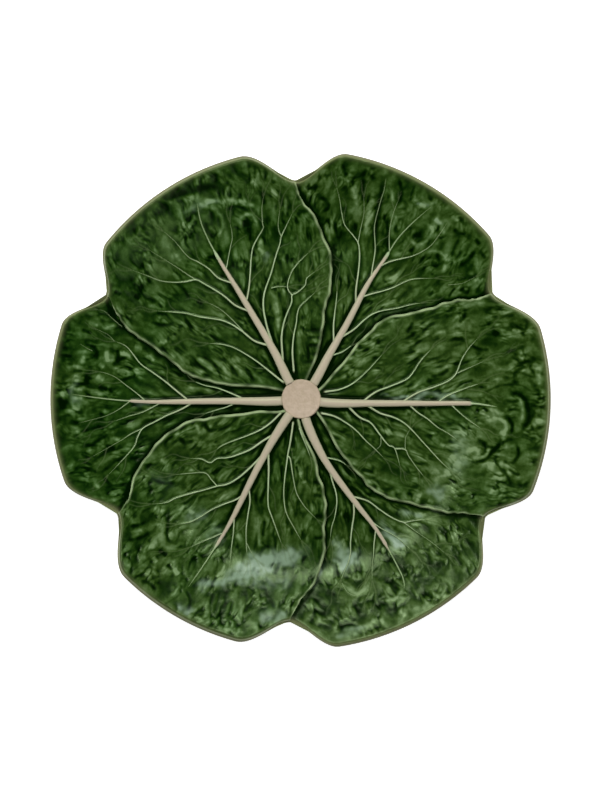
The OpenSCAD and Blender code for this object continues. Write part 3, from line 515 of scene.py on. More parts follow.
@dataclass(frozen=True)
class PlateForm:
    """Plain form of the plate in millimetres: the dish, its lobed outline and the leaf boundaries."""

    plate_r: float = 131.4
    wall: float = 3.6
    well_r: float = 82.0
    bend_r: float = 45.0
    flare_deg: float = 22.0
    foot_r: float = 73.0
    foot_w: float = 5.4
    foot_h: float = 3.0
    leaf_t: float = 1.2
    step_t: float = 1.2
    lip_line: float = 1.2
    core_r: float = 10.5
    core_h: float = 4.4
    seat: float = 0.2
    rib_w: float = 5.0
    rib_h: float = 2.4
    vein_w: float = 1.6
    vein_h: float = 0.9
    wave_mm: float = 5.5
    wave_depth: float = 0.75
    wave_seed: int = 60
    boundary_steps: int = 6
    boundary_points: int = 90
    rib_steps: int = 8

    @property
    def floor_z(self) -> float:
        """Height of the well's floor under the leaves."""
        return self.foot_h + self.wall

    @property
    def bend_end(self) -> float:
        """Radius at which the bend goes over into the straight flare."""
        return self.well_r + self.bend_r * math.sin(math.radians(self.flare_deg))

    def dish_z(self, r: Array) -> Array:
        """Height of the body's upper face: flat floor, round bend, then a straight flare.

        Args:
            r: radii in millimetres.

        Returns:
            Heights in millimetres.
        """
        slope = math.radians(self.flare_deg)
        into = np.clip(r - self.well_r, 0.0, self.bend_end - self.well_r)
        bend = self.bend_r - np.sqrt(self.bend_r ** 2 - into ** 2)
        return self.floor_z + bend + np.clip(r - self.bend_end, 0.0, None) * math.tan(slope)

    def radius_at(self, share: Array) -> Array:
        """Radius at a share, where CORE_SHARE is the stem's edge and 1 the circle of the leaf tips."""
        return self.core_r + (share - CORE_SHARE) / (1 - CORE_SHARE) * (self.plate_r - self.core_r)

    def share_at(self, r: Array) -> Array:
        """Share at a radius, the inverse of radius_at."""
        return CORE_SHARE + (1 - CORE_SHARE) * (r - self.core_r) / (self.plate_r - self.core_r)

    def past(self, r: Array, share: float, over: float) -> Array:
        """Eases from 0 to 1 where a radius passes a share of the plate's, over a further share."""
        return ease((r / self.plate_r - share) / over)

    def rim_r(self, leaf: int, deg: Array) -> Array:
        """Radius of the lobed rim: the tip's reach, eased down towards the notch on either side.

        Args:
            leaf: index of the leaf that lies in these directions.
            deg: directions in degrees.

        Returns:
            Radii in millimetres.
        """
        before, after, tip = NOTCH_SHARES[leaf], NOTCH_SHARES[leaf + 1], LOBE_SHARES[leaf]
        fall_before = (tip - before[1]) * (1 - ease((deg - before[0]) / before[2]))
        fall_after = (tip - after[1]) * (1 - ease((after[0] - deg) / after[3]))
        return self.plate_r * (tip - fall_before - fall_after)

    def boundary_deg(self, number: int, share: Array) -> Array:
        """Angle of a leaf boundary: a smooth line with small waves, which die out at the rim and the stem.

        Args:
            number: which boundary, counted from the one before leaf 1.
            share: shares of the way to the rim.

        Returns:
            Angles in degrees.
        """
        knots = np.column_stack([BOUNDARY_ROW_SHARES, BOUNDARY_DEGS[number]])
        line = spline(knots, self.boundary_steps)
        r = self.radius_at(share)
        wave = GradientNoise(self.wave_seed + number % LEAVES).grains(r, 0.3 * r, self.wave_mm)
        fade = ease((1 - share) / 0.12) * ease((share - 0.2) / 0.15)
        return np.interp(share, line[:, 0], line[:, 1]) + np.degrees(self.wave_depth * wave * fade / r)

    def boundary_line(self, leaf: int, number: int) -> Array:
        """Points of a leaf boundary in plan, from the stem to its notch.

        Args:
            leaf: index of the leaf whose rim the line ends on.
            number: which boundary, counted from the one before leaf 1.

        Returns:
            Array of points.
        """
        share = np.linspace(CORE_SHARE, 1.0, self.boundary_points)
        deg = self.boundary_deg(number, share)
        rim = self.rim_r(leaf, deg)
        inner = self.radius_at(share)
        flare_share = self.share_at(self.bend_end)
        up = np.clip((share - flare_share) / (1 - flare_share), 0, 1)
        r = np.where(share <= flare_share, inner, self.bend_end + up * (rim - self.bend_end))
        return polar(r, deg)

    def rib_deg(self, leaf: int, share: Array) -> Array:
        """Angle of a midrib at shares of the radius."""
        line = spline(np.array(RIB_SHARES[leaf], float), self.rib_steps)
        return leaf * LEAF_PITCH + np.interp(share, line[:, 0], line[:, 1])

    def on_top(self, leaf: int) -> bool:
        """Whether a leaf lies over its neighbours: leaves 1, 3 and 5 do."""
        return leaf % 2 == 0

    def leaf_z(self, leaf: int, r: Array) -> Array:
        """Height of a leaf's smooth upper face."""
        return self.dish_z(r) + self.seat + self.leaf_t + (self.step_t if self.on_top(leaf) else 0.0)


@dataclass(frozen=True)
class PhotoView:
    """How the photograph sees the plate: straight from above, with the plate's width on so many pixels."""

    form: PlateForm
    rim_mm: float
    photo_w: float = 600.0
    photo_h: float = 800.0
    plate_px: float = 502.0
    plate_mm: float = 264.8
    axis_px: Pair = (301.2, 399.0)
    lens_mm: float = 250.0
    sensor_mm: float = 36.0

    @property
    def mm_per_px(self) -> float:
        """Size of a pixel at the height of the rim."""
        return self.plate_mm / self.plate_px

    @property
    def distance(self) -> float:
        """Height of the camera over the rim: the frame's longer side fills the sensor."""
        return self.photo_h * self.mm_per_px * self.lens_mm / self.sensor_mm

    def place(self, leaf: int, px: Pair) -> Array:
        """Turns a pixel of the photograph into a place on a leaf, in millimetres.

        What lies below the rim is farther from the camera, so its place is stretched away from the axis.

        Args:
            leaf: index of the leaf.
            px: the pixel, counted from the upper left corner.

        Returns:
            The place in plan.
        """
        flat = np.array([px[0] - self.axis_px[0], self.axis_px[1] - px[1]]) * self.mm_per_px
        below = self.rim_mm - self.form.leaf_z(leaf, np.hypot(*flat))
        return flat * (1 + below / self.distance)


@dataclass(frozen=True)
class Ridge:
    """One raised line on a leaf, in plan: its course, half widths and heights, point by point."""

    course: Array
    half: Array
    height: Array
    cream: Array

    def close_to(self, x: Array, y: Array, reach: float) -> Array:
        """Indices of the points that lie in the box round the course, widened on all sides by a reach."""
        low, high = self.course.min(axis=0) - reach, self.course.max(axis=0) + reach
        return np.flatnonzero((x > low[0]) & (x < high[0]) & (y > low[1]) & (y < high[1]))

    def distances(self, x: Array, y: Array) -> tuple[Array, Array]:
        """Measures how far points lie from the course.

        The foot of the perpendicular on each segment is held to the segment, and the nearest one counts.

        Args:
            x, y: places in plan, in millimetres.

        Returns:
            The distance of each point, and its place along the course as a fractional index.
        """
        start, step = self.course[:-1], np.diff(self.course, axis=0)
        dx, dy = x[:, None] - start[None, :, 0], y[:, None] - start[None, :, 1]
        length2 = np.maximum((step ** 2).sum(axis=1), TINY)
        t = np.clip((dx * step[:, 0] + dy * step[:, 1]) / length2, 0, 1)
        gap = np.hypot(dx - t * step[:, 0], dy - t * step[:, 1])
        pick = gap.argmin(axis=1)
        rows = np.arange(len(x))
        return gap[rows, pick], pick + t[rows, pick]


@dataclass
class MeshMaker:
    """Puts grids of points into Blender meshes."""

    scale: float = MM

    def build(self, name: str, points: Array, faces: list[Array], attributes: dict[str, Array]) -> Piece:
        """Makes one object with smooth faces from arrays.

        Args:
            name: name of the object and its mesh.
            points: array of n points, in millimetres.
            faces: arrays of vertex indices, with 3 or 4 columns, wound so that they face outwards.
            attributes: values by name, one a point, for the material to read.

        Returns:
            The new object, linked to the scene, at the origin.
        """
        mesh = bpy.data.meshes.new(name)
        sizes = np.concatenate([np.full(len(part), part.shape[1]) for part in faces])
        loops = np.concatenate([part.ravel() for part in faces]).astype(np.int32)
        starts = np.concatenate([[0], np.cumsum(sizes)[:-1]]).astype(np.int32)
        mesh.vertices.add(len(points))
        mesh.vertices.foreach_set("co", (points * self.scale).astype(np.float32).ravel())
        mesh.loops.add(len(loops))
        mesh.loops.foreach_set("vertex_index", loops)
        mesh.polygons.add(len(sizes))
        mesh.polygons.foreach_set("loop_start", starts)
        mesh.polygons.foreach_set("use_smooth", np.ones(len(sizes), bool))
        for key, values in attributes.items():
            layer = mesh.attributes.new(key, "FLOAT", "POINT")
            layer.data.foreach_set("value", values.astype(np.float32).ravel())
        mesh.update(calc_edges=True)
        mesh.validate()
        piece = bpy.data.objects.new(name, mesh)
        bpy.context.scene.collection.objects.link(piece)
        return piece

    def tube_faces(self, rings: int, around: int, first: int = 0) -> Array:
        """Quads between closed rings of points that follow each other, facing outwards.

        Args:
            rings: number of rings.
            around: number of points in each ring, counter-clockwise as seen along the way.
            first: index of the first point.

        Returns:
            Array of quads.
        """
        n, k = np.meshgrid(np.arange(rings - 1), np.arange(around), indexing="ij")
        a, m = first + n * around, (k + 1) % around
        return np.stack([a + k, a + m, a + around + m, a + around + k], axis=-1).reshape(-1, 4)

    def cap_faces(self, rings: int, around: int, pole: int, first: int = 0) -> Array:
        """Triangles that close a tube at both ends, each with a fan to a point of its own.

        Args:
            rings: number of rings in the tube.
            around: number of points in each ring.
            pole: index of the point that closes the first ring. The one after it closes the last.
            first: index of the tube's first point.

        Returns:
            Array of triangles.
        """
        ring = np.arange(around)
        turned = (ring + 1) % around
        last = first + (rings - 1) * around
        head = np.stack([first + turned, first + ring, np.full(around, pole)], axis=-1)
        tail = np.stack([last + ring, last + turned, np.full(around, pole + 1)], axis=-1)
        return np.concatenate([head, tail])

    def zip_faces(self, one: Array, other: Array) -> Array:
        """Triangles between two rows of points with different numbers of points.

        Each point of the longer row joins the point of the shorter row that lies at the same share.

        Args:
            one: indices of the longer row.
            other: indices of the shorter row, in the same direction.

        Returns:
            Array of triangles.
        """
        middle = (np.arange(len(one) - 1) + 0.5) / (len(one) - 1)
        pick = np.minimum((middle * len(other)).astype(int), len(other) - 1)
        long_side = np.stack([one[:-1], one[1:], other[pick]], axis=-1)
        turn = np.searchsorted(pick, np.arange(1, len(other)))
        short_side = np.stack([other[1:], other[:-1], one[turn]], axis=-1)
        return np.vstack([long_side, short_side])


@dataclass
class Relief:
    """Moulded skin of a leaf between its veins: soft lumps and strokes that run with the veins."""

    form: PlateForm
    leaf: int
    seed: int = 11
    bend_mm: float = 10.0
    bend_reach_mm: Pair = (2.4, 2.2)
    lump_mm: Pair = (9.0, 4.9)
    stroke_mm: Pair = (4.6, 2.8)
    fine_mm: Pair = (2.2, 1.5)
    fold_mm: Pair = (9.5, 4.6)
    slow_mm: float = 21.0
    lively_mm: float = 11.0
    lean: float = 1.15
    lump_gain: float = 0.7
    thin_gains: tuple[float, ...] = (0.52, 0.33, -0.38, -0.42)
    lift_gains: tuple[float, ...] = (0.55, 0.2, -0.2, -0.12)
    thin_base: float = 0.14

    def noise(self, number: int) -> GradientNoise:
        """One of the leaf's own noises."""
        return GradientNoise(100 * self.seed + 10 * self.leaf + number)

    def turned(self, x: Array, y: Array) -> tuple[Array, Array]:
        """Places along the middle of the leaf and across it."""
        middle = math.radians(self.leaf * LEAF_PITCH)
        return x * math.cos(middle) + y * math.sin(middle), y * math.cos(middle) - x * math.sin(middle)

    def outwards(self, x: Array, y: Array) -> tuple[Array, Array]:
        """The radius, and the angle off the leaf's middle times a length that grows with the radius."""
        r, (along, across) = np.hypot(x, y), self.turned(x, y)
        return r, np.arctan2(across, along) * (0.35 * self.form.plate_r + 0.65 * r)

    def veinwards(self, x: Array, y: Array) -> tuple[Array, Array]:
        """Places along the side veins, which lean outwards on both sides of the midrib, and across them."""
        (along, off), slant = self.turned(x, y), 1 / math.hypot(1, self.lean)
        return off / slant, (along - self.lean * np.abs(off)) * slant

    def skin(self, x: Array, y: Array) -> tuple[Array, Array, Array]:
        """How far the glaze runs off the skin, from about -1.5 in its deepest pits to 1.5 on its crests.

        Smooth noise of three sizes, each longer than it is wide, runs with the side veins over the middle of
        the leaf and outwards near the rim. Places are bent a little by slow noise first. The deep parts of
        the strokes are cut in further, and slow noise leaves some stretches calm.

        Args:
            x, y: places in plan, in millimetres.

        Returns:
            How thin the glaze is drawn, the softer height of the moulded skin, and slow noise for the tone.
        """
        bend_a, bend_b = (self.noise(number).grains(x, y, self.bend_mm) for number in (0, 1))
        p, q = self.veinwards(x, y)
        u, v = self.outwards(x, y)
        outer = self.form.past(u, *RIM_ZONE)
        long_bend, short_bend = self.bend_reach_mm
        p, q = p + long_bend * bend_a, q + short_bend * bend_b
        u, v = u + long_bend * bend_b, v + short_bend * bend_a
        layers = []
        sizes = (self.lump_mm, self.stroke_mm, self.fine_mm, self.fold_mm)
        for number, (long, wide) in zip((2, 4, 6, 12), sizes):
            inside = self.noise(number).sample(p / long, q / wide)
            outside = self.noise(number + 1).sample(u / long, v / wide)
            layers.append(((1 - outer) * inside + outer * outside) / np.hypot(1 - outer, outer))
        lumps, strokes, fine, folds = layers
        slow = self.noise(9).grains(x, y, self.slow_mm)
        quick = self.noise(9).sample(x / self.lively_mm + 9, y / self.lively_mm)
        lively = np.clip(0.8 + 1.5 * quick, 0.2, 1.7)
        parts = (strokes, fine, ease((-strokes - 0.2) / 0.4), bell(folds / 0.14))
        thin = sum(gain * part for gain, part in zip(self.thin_gains, parts)) + self.thin_base
        lift = sum(gain * part for gain, part in zip(self.lift_gains, parts))
        height = self.lump_gain * lumps + lively * thin + 0.08
        relief = self.lump_gain * lumps + lively * lift
        return np.clip(height, -1.8, 1.6), np.clip(relief, -1.5, 1.5), slow


@dataclass
class Veinlets:
    """Fine veinlets that branch off a leaf's side veins and fork from their tips, leaning outwards."""

    form: PlateForm
    leaf: int
    seed: int = 500
    height_mm: float = 0.09
    half_mm: Pair = (0.16, 0.1)
    first_mm: Pair = (10.0, 22.0)
    spacing_mm: float = 34.0
    end_mm: float = 4.0
    branch_deg: float = 36.0
    fork_deg: float = 13.0
    sway_deg: float = 8.0
    reach_mm: Pair = (8.0, 15.0)
    curl: Pair = (-0.3, 0.1)
    ripple: float = 0.09
    ripples: Pair = (4.0, 8.0)
    taper: float = 0.75
    steps: int = 10
    least_steps: int = 4
    limit: float = 0.93
    next_size: float = 0.55

    def twigs(self, rng: np.random.Generator, course: Array, size: float) -> list[Ridge]:
        """Grows the veinlets of one vein: along it on both sides by turns, and a fork at its tip.

        Each is an arc: its heading turns evenly along its length. It thins out towards its end and stops
        short of the rim.

        Args:
            rng: where the random draws come from.
            course: points of the vein that carries them.
            size: how large they are, with 1 on a side vein.

        Returns:
            One ridge a veinlet.
        """
        length = run_along(course)
        starts = np.arange(rng.uniform(*self.first_mm), length[-1] - self.end_mm, self.spacing_mm)
        side = rng.choice((-1, 1))
        sites = [(spot, side * (-1) ** n, self.branch_deg) for n, spot in enumerate(starts)]
        sites += [(length[-1], hand, self.fork_deg) for hand in (-1, 1)]
        grown = []
        for spot, hand, lean in sites:
            k = int(np.clip(np.searchsorted(length, spot), 1, len(length) - 1))
            way = course[k] - course[k - 1]
            sway = rng.uniform(-self.sway_deg, self.sway_deg)
            turn = math.atan2(way[1], way[0]) + hand * math.radians(lean + sway)
            reach = size * rng.uniform(*self.reach_mm)
            t = np.linspace(0, 1, self.steps)[:, None]
            bent = turn + rng.uniform(*self.curl) * hand * t
            angle = bent + self.ripple * np.sin(rng.uniform(*self.ripples) * t)
            path = course[k] + reach * t * np.hstack([np.cos(angle), np.sin(angle)])
            path = path[np.hypot(path[:, 0], path[:, 1]) < self.limit * self.form.plate_r]
            if len(path) >= self.least_steps:
                thin = size * (1 - self.taper * np.linspace(0, 1, len(path)))
                half = self.half_mm[0] + self.half_mm[1] * thin
                grown.append(Ridge(path, half, self.height_mm * thin, np.zeros(len(path))))
        return grown

    def grow(self, veins: list[Ridge]) -> list[Ridge]:
        """Grows two generations of veinlets, the second one on half of the first.

        Args:
            veins: the side veins that carry the first.

        Returns:
            One ridge a veinlet.
        """
        rng = np.random.default_rng(self.seed + self.leaf)
        first = [twig for vein in veins for twig in self.twigs(rng, vein.course, 1.0)]
        carriers = list(first)
        rng.shuffle(carriers)
        carriers = carriers[:len(carriers) // 2]
        return first + [twig for one in carriers for twig in self.twigs(rng, one.course, self.next_size)]


@dataclass
class LeafSkin:
    """One leaf: its skin with all that is moulded into it, and the ridges that run over it."""

    form: PlateForm
    leaf: int
    maker: MeshMaker
    view: PhotoView
    rows_in: int = 226
    rows_out: int = 84
    columns: int = 262
    under_columns: int = 9
    edge_mm: tuple[float, ...] = (0.0, 0.12, 0.28, 0.5, 0.8, 1.15, 1.6)
    under_stem_mm: float = 0.6
    overlap_mm: float = 2.4
    hold_back_mm: float = 0.15
    mid_share: float = 0.94
    sunk_mm: float = 0.8
    least_mm: float = 0.4
    rib_steps: int = 14
    rib_narrow: Pair = (0.48, 0.16)
    rib_point: float = 9.0
    rib_end: float = 0.35
    rib_tuck_mm: float = 0.4
    vein_steps: int = 9
    vein_share: float = 0.59
    vein_taper: float = 0.62
    vein_fade: float = 0.35
    vein_point: float = 7.0
    vein_end: float = 0.4
    vein_cream: float = 0.3
    crowd: float = 0.5
    crowd_mm: float = 38.0
    mark_steps: int = 6
    ridge_reach_mm: float = 6.0
    far_mm: float = 9.0
    relief_mm: float = 0.17
    groove_mm: float = 0.22
    groove_far_mm: float = 52.0
    swell: float = 0.55
    mark_mm: float = 0.16
    broken_mm: float = 3.2
    wander_mm: float = 8.0
    patch_mm: float = 6.5
    ruffle_mm: float = 4.4
    ruffle_wide_mm: float = 9.0
    bead_mm: float = 0.12
    edge_drop_mm: float = 0.3
    rim_low_mm: float = 0.3
    rim_fall_mm: Pair = (1.9, 1.5)
    rim_round: float = 0.88
    rim_round_drop: float = 0.525
    pool_mm: float = 24.0
    ridges: list[Ridge] = field(default_factory=list)

    @property
    def name(self) -> str:
        """Name of the leaf's node."""
        return f"leaf_{self.leaf + 1}"

    def rib_ridge(self) -> Ridge:
        """Course and size of the leaf's midrib, which narrows on its way out and ends in a point.

        Returns:
            The midrib as a ridge.
        """
        form = self.form
        share, off = spline(np.array(RIB_SHARES[self.leaf], float), self.rib_steps).T
        size = np.interp(share, *np.array(RIB_SIZE_SHARES, float).T)
        start, over = self.rib_narrow
        size = size * (1 - (1 - RIB_TIP_SHARES[self.leaf]) * ease((share - start) / over))
        end, fade = RIB_CREAM_SHARES[self.leaf]
        cream = 1 - ease((share - end) / fade + 0.5)
        course = polar(form.radius_at(share), self.leaf * LEAF_PITCH + off)
        course[0] *= 1 - self.rib_tuck_mm / form.core_r
        tip = ease((1 - np.linspace(0, 1, len(share))) * self.rib_point)
        return Ridge(course, size * form.rib_w / 2 * above(self.rib_end, tip), size * form.rib_h * tip, cream)

    def vein_ridges(self) -> list[Ridge]:
        """Courses and sizes of the leaf's side veins, which taper, and widen where they crowd at the stem.

        Returns:
            One ridge a vein.
        """
        form, middle = self.form, self.leaf * LEAF_PITCH
        veins = []
        for strength, root, *rest in VEIN_SHARES[self.leaf]:
            first = root
            if not isinstance(root, tuple):
                first = (root, float(form.rib_deg(self.leaf, np.array(root))) - middle)
            share, off = np.array([first, *rest], float).T
            course = spline(polar(form.radius_at(share), middle + off), self.vein_steps)
            along = np.linspace(0, 1, len(course))
            r = np.hypot(course[:, 0], course[:, 1])
            taper = strength * (1 - self.vein_taper * along ** 0.8)
            fade = 1 - self.vein_fade * form.past(r, *RIM_ZONE)
            tip = ease((1 - along) * self.vein_point)
            cream = (1 - ease(along * 2.8)) * ease((strength - 0.45) / 0.5) * self.vein_cream
            near = 1 + self.crowd * bell(r / self.crowd_mm)
            half = taper * fade * near * self.vein_share * form.vein_w / 2 * above(self.vein_end, tip)
            veins.append(Ridge(course, half, taper * fade * form.vein_h * tip, cream))
        return veins

    def plan(self) -> tuple[Array, Array, Array]:
        """Lays the grid of the leaf out in plan.

        Rows run across the leaf at growing radii and, past the bend, at growing shares of the way to the
        rim. Columns run between the two boundaries, close together at both margins. A leaf underneath
        reaches a little way under its neighbours.

        Returns:
            Radii and angles of the grid, and how far inside the rim each point lies, in millimetres.
        """
        form, leaf = self.form, self.leaf
        inner = np.linspace(form.core_r - self.under_stem_mm, form.bend_end, self.rows_in)
        margin = np.array(self.edge_mm)[::-1]
        up = np.linspace(0, 1, self.rows_out + 1)[1:]
        base = np.concatenate([inner, np.full(len(up) + len(margin) - 1, form.bend_end)])
        climb = np.concatenate([np.zeros(len(inner)), up, np.ones(len(margin) - 1)])
        inset = np.concatenate([np.full(len(inner) + len(up), margin[0]), margin[1:]])
        share = form.share_at(base) + climb * (1 - form.share_at(base))
        tuck = -self.hold_back_mm if form.on_top(leaf) else self.overlap_mm
        mid_r = base + climb * (form.plate_r * self.mid_share - base)
        reach = np.degrees(tuck / mid_r)
        low = form.boundary_deg(leaf, share) - reach
        high = form.boundary_deg(leaf + 1, share) + reach
        edge = np.degrees(np.array(self.edge_mm)[None, :-1] / mid_r[:, None])
        last = np.degrees(self.edge_mm[-1] / mid_r)
        even = np.linspace(0, 1, self.columns)[None, :]
        inside = (low + last)[:, None] + even * (high - low - 2 * last)[:, None]
        deg = np.hstack([low[:, None] + edge, inside, high[:, None] - edge[:, ::-1]])
        held = np.clip(deg, NOTCH_SHARES[leaf][0], NOTCH_SHARES[leaf + 1][0])
        rim = form.rim_r(leaf, held) - form.lip_line
        r = base[:, None] + climb[:, None] * (rim - inset[:, None] - base[:, None])
        return r, deg, rim - r

    def ridge_fields(self, x: Array, y: Array) -> dict[str, Array]:
        """Adds up what the leaf's ridges do to the skin beside them.

        Under a ridge the skin swells by a bell curve of the distance over the ridge's half width. Beside it
        lies a groove, a second bell curve centred a little outside its flank. What is nearest counts.

        Args:
            x, y: places in plan, in millimetres.

        Returns:
            Arrays by name: swell, groove, line (1 on a ridge), cream, and near (millimetres to a flank).
        """
        out = {key: np.zeros(len(x)) for key in ("swell", "groove", "line", "cream")}
        out["near"] = np.full(len(x), self.far_mm)
        for ridge in self.ridges:
            pick = ridge.close_to(x, y, self.ridge_reach_mm)
            if len(pick) == 0:
                continue
            gap, place = ridge.distances(x[pick], y[pick])
            index = np.arange(len(ridge.half))
            half, height = np.interp(place, index, ridge.half), np.interp(place, index, ridge.height)
            strong = np.clip(height / self.form.vein_h, 0.15, 1.3)
            wide = above(0.55, np.clip(strong, 0, 1))
            seen = np.clip(height / FULL_RIDGE_MM, 0, 1) ** 0.7
            line = (1 - ease((gap - 0.7 * half) / (0.25 * half + 0.14))) * seen
            found = {
                "swell": height * bell(gap / (half * 1.15 + 0.12)),
                "groove": strong ** 1.5 * bell((gap - half - 0.8 * wide) / (1.05 * wide)),
                "line": line,
                "cream": line * np.interp(place, index, ridge.cream),
            }
            for key, values in found.items():
                out[key][pick] = np.maximum(out[key][pick], values)
            out["near"][pick] = np.minimum(out["near"][pick], np.maximum(gap - half, 0))
        return out

    def drawn(self, x: Array, y: Array, table: tuple, spread: float = 1.0) -> Array:
        """Adds up features drawn after the photograph: marks in the skin, or patches of glaze tone, some of
        them painted highlights.

        Each runs along a smooth course and falls off on both sides as a bell curve, and towards its ends.

        Args:
            x, y: places in plan, in millimetres.
            table: rows of size, half width in millimetres, and the course in photo pixels.
            spread: what the half widths are multiplied by.

        Returns:
            The sum of the features at each point.
        """
        total = np.zeros(len(x))
        for amount, narrow, *course in table:
            half = narrow * spread
            path = spline(np.array([self.view.place(self.leaf, px) for px in course]), self.mark_steps)
            size = np.full(len(path), half)
            stroke = Ridge(path, size, size, size)
            pick = stroke.close_to(x, y, 3 * half)
            if len(pick) == 0:
                continue
            gap, place = stroke.distances(x[pick], y[pick])
            share = place / (len(path) - 1)
            ends = above(0.2, ease(4 * share) * ease(4 * (1 - share)))
            total[pick] += amount * bell(gap / half) * ends
        return total

    def photo_fields(self, x: Array, y: Array) -> tuple[Array, Array, Array]:
        """Sums what was drawn after the photograph, with strengths and courses made uneven by noise.

        Args:
            x, y: places in plan, in millimetres.

        Returns:
            Lift of the bold marks, how much more thinly the glaze lies with painted highlights laid in, and
            how clouded it is, from 0 to 1, partly as glaze and partly as painted highlight.
        """
        leaf = self.leaf
        broken = GradientNoise(20 + leaf).grains(x, y, self.broken_mm)
        bend_a, bend_b = (GradientNoise(30 + n).grains(x, y, self.wander_mm) for n in (leaf, leaf + LEAVES))
        wander = (x + 3 * bend_a, y + 3 * bend_b)
        bold = self.drawn(x + 0.5 * bend_b, y + 0.5 * bend_a, PHOTO_MARKS[leaf], 1.15)
        bold = np.clip(bold * np.clip(1 + 0.6 * broken, 0.55, 1.35), -0.6, 0.65)
        # Glaze tone, with painted highlights laid in along the bend and the flare.
        tones_and_highlights = self.drawn(*wander, PHOTO_TONES_AND_HIGHLIGHTS[leaf]) * np.clip(0.9 + 1.1 * broken, 0.25, 1.7)
        # Clouded glaze, partly a painted highlight where a softbox is reflected in the bend.
        milk_and_highlight = ease(1.15 * self.drawn(*wander, PHOTO_MILK_AND_HIGHLIGHTS[leaf]) * np.clip(1 + 0.7 * broken, 0.5, 1.4))
        return bold, tones_and_highlights, milk_and_highlight

    def ruffles(self, gap: Array, place: Array, line: Array, number: int) -> Array:
        """Puckers that run across a margin and die out a few millimetres inside it.

        Args:
            gap: distance of each point from the margin.
            place: its place along the margin, as a fractional index.
            line: points of the margin.
            number: which noise to take.

        Returns:
            Height of the puckers, from about -1 to 1.
        """
        along = np.interp(place, np.arange(len(line)), run_along(line)) / self.ruffle_mm
        wave = GradientNoise(800 + 10 * self.leaf + number).sample(along, gap / self.ruffle_wide_mm)
        return wave * bell((gap - 2.2) / 3.0)

    def margins(self, x: Array, y: Array) -> tuple[Array, Array]:
        """Finds how far points lie from the leaf's two margins, and the puckers along them.

        Args:
            x, y: places in plan, in millimetres.

        Returns:
            The distance from the nearer margin, and the height of the puckers, 0 on a leaf underneath.
        """
        gaps, ruffle = [], np.zeros(len(x))
        for number in (self.leaf, self.leaf + 1):
            line = self.form.boundary_line(self.leaf, number)
            edge = Ridge(line, np.ones(len(line)), np.ones(len(line)), np.zeros(len(line)))
            gap, place = edge.distances(x, y)
            gaps.append(gap)
            if self.form.on_top(self.leaf):
                ruffle += self.ruffles(gap, place, line, number)
        return np.minimum(*gaps), ruffle

    def round_off(self, z: Array, margin: Array, inset: Array) -> Array:
        """Lowers the skin at its margins and along the rim.

        A leaf on top rounds over to the leaf beneath, with a bead just inside, and one underneath swells a
        little where its neighbour's margin lies on it. At the rim all of it falls as a quarter of an ellipse
        does.

        Args:
            z: heights so far.
            margin: distance of each point from the nearer margin.
            inset: how far each point lies inside the leaf's end at the rim.

        Returns:
            The heights, rounded off.
        """
        form, on_top = self.form, self.form.on_top(self.leaf)
        if on_top:
            z = z - (form.step_t + self.edge_drop_mm) * (1 - ease((margin + 0.1) / 1.1))
            z += self.bead_mm * bell((margin - 1.3) / 0.8) * ease(inset / 2.0)
        else:
            z = z + self.bead_mm * bell(margin / 2.0) * ease(inset / 3.0)
        fall = self.rim_fall_mm[0] if on_top else self.rim_fall_mm[1]
        top = form.seat + form.leaf_t + (form.step_t if on_top else 0)
        out = self.rim_round * (1 - np.clip(inset / fall, 0, 1))
        return z - (top - self.rim_low_mm) * (1 - np.sqrt(1 - out ** 2)) / self.rim_round_drop

    def surface(self, r: Array, deg: Array, inset: Array) -> tuple[Array, dict[str, Array]]:
        """Works out the height and the glaze of the leaf's upper face.

        The height is the smooth leaf, plus its puckers where no ridge is near, plus what the ridges do,
        rounded off at its margins and at the rim.

        Args:
            r: radii of the grid.
            deg: angles of the grid.
            inset: how far each point lies inside the leaf's end at the rim.

        Returns:
            Heights, and attributes by name, all shaped as the grid.
        """
        form, leaf = self.form, self.leaf
        shape = r.shape
        plan = polar(r, deg)
        x, y = plan[..., 0].ravel(), plan[..., 1].ravel()
        inset, radius = inset.ravel(), r.ravel()
        margin, ruffle = self.margins(x, y)
        puckers, lift, slow = Relief(form, leaf).skin(x, y)
        bold, tones_and_highlights, milk_and_highlight = self.photo_fields(x, y)
        marks = self.ridge_fields(x, y)
        bare = 1 - marks["line"]
        far = bell(radius / self.groove_far_mm)
        grooves = marks["groove"] * above(0.35, far) * (0.8 + 0.5 * slow) * (1 - 0.9 * milk_and_highlight)
        clear = 1 - bell(marks["near"] / 1.1)
        calm = clear * ease(margin / 3.2) * ease(inset / 4.5) * ease((radius - form.core_r - 1.0) / 6)
        lively = 0.3 + 1.2 * form.past(radius, 0.55, 0.25)
        still = (1 - 0.6 * ease(np.abs(bold) / 0.25)) * (1 - 0.4 * milk_and_highlight)
        puckers, lift = (puckers + 0.5 * ruffle) * still, (lift + 0.5 * ruffle) * still
        z = form.leaf_z(leaf, radius) + self.relief_mm * lively * lift * above(0.12, calm) * ease(inset / 3.0)
        z += (self.swell * marks["swell"] + self.mark_mm * bold * bare) * ease(inset / 2.0)
        z -= self.groove_mm * grooves * bare * ease(inset / 3.0)
        z = self.round_off(z, margin, inset)
        patchy = np.clip(0.85 + 1.1 * GradientNoise(40 + leaf).grains(x, y, self.patch_mm), 0.3, 1.25)
        edge, shade = np.zeros(len(x)), np.zeros(len(x))
        if form.on_top(leaf):
            edge = bell(np.clip(margin - 0.9, 0, None) / 0.6) * patchy
        else:
            # Painted shade with pooled glaze on a leaf underneath, beside its neighbour's margin.
            shade = 0.8 * bell(margin / 0.8) + 0.6 * patchy * bell(margin / 2.8)
        # The leaf's glaze as a whole; its negative offsets partly paint shade over the whole leaf.
        leaf_tone_and_shade, cool = LEAF_GLAZE_AND_SHADE[leaf]
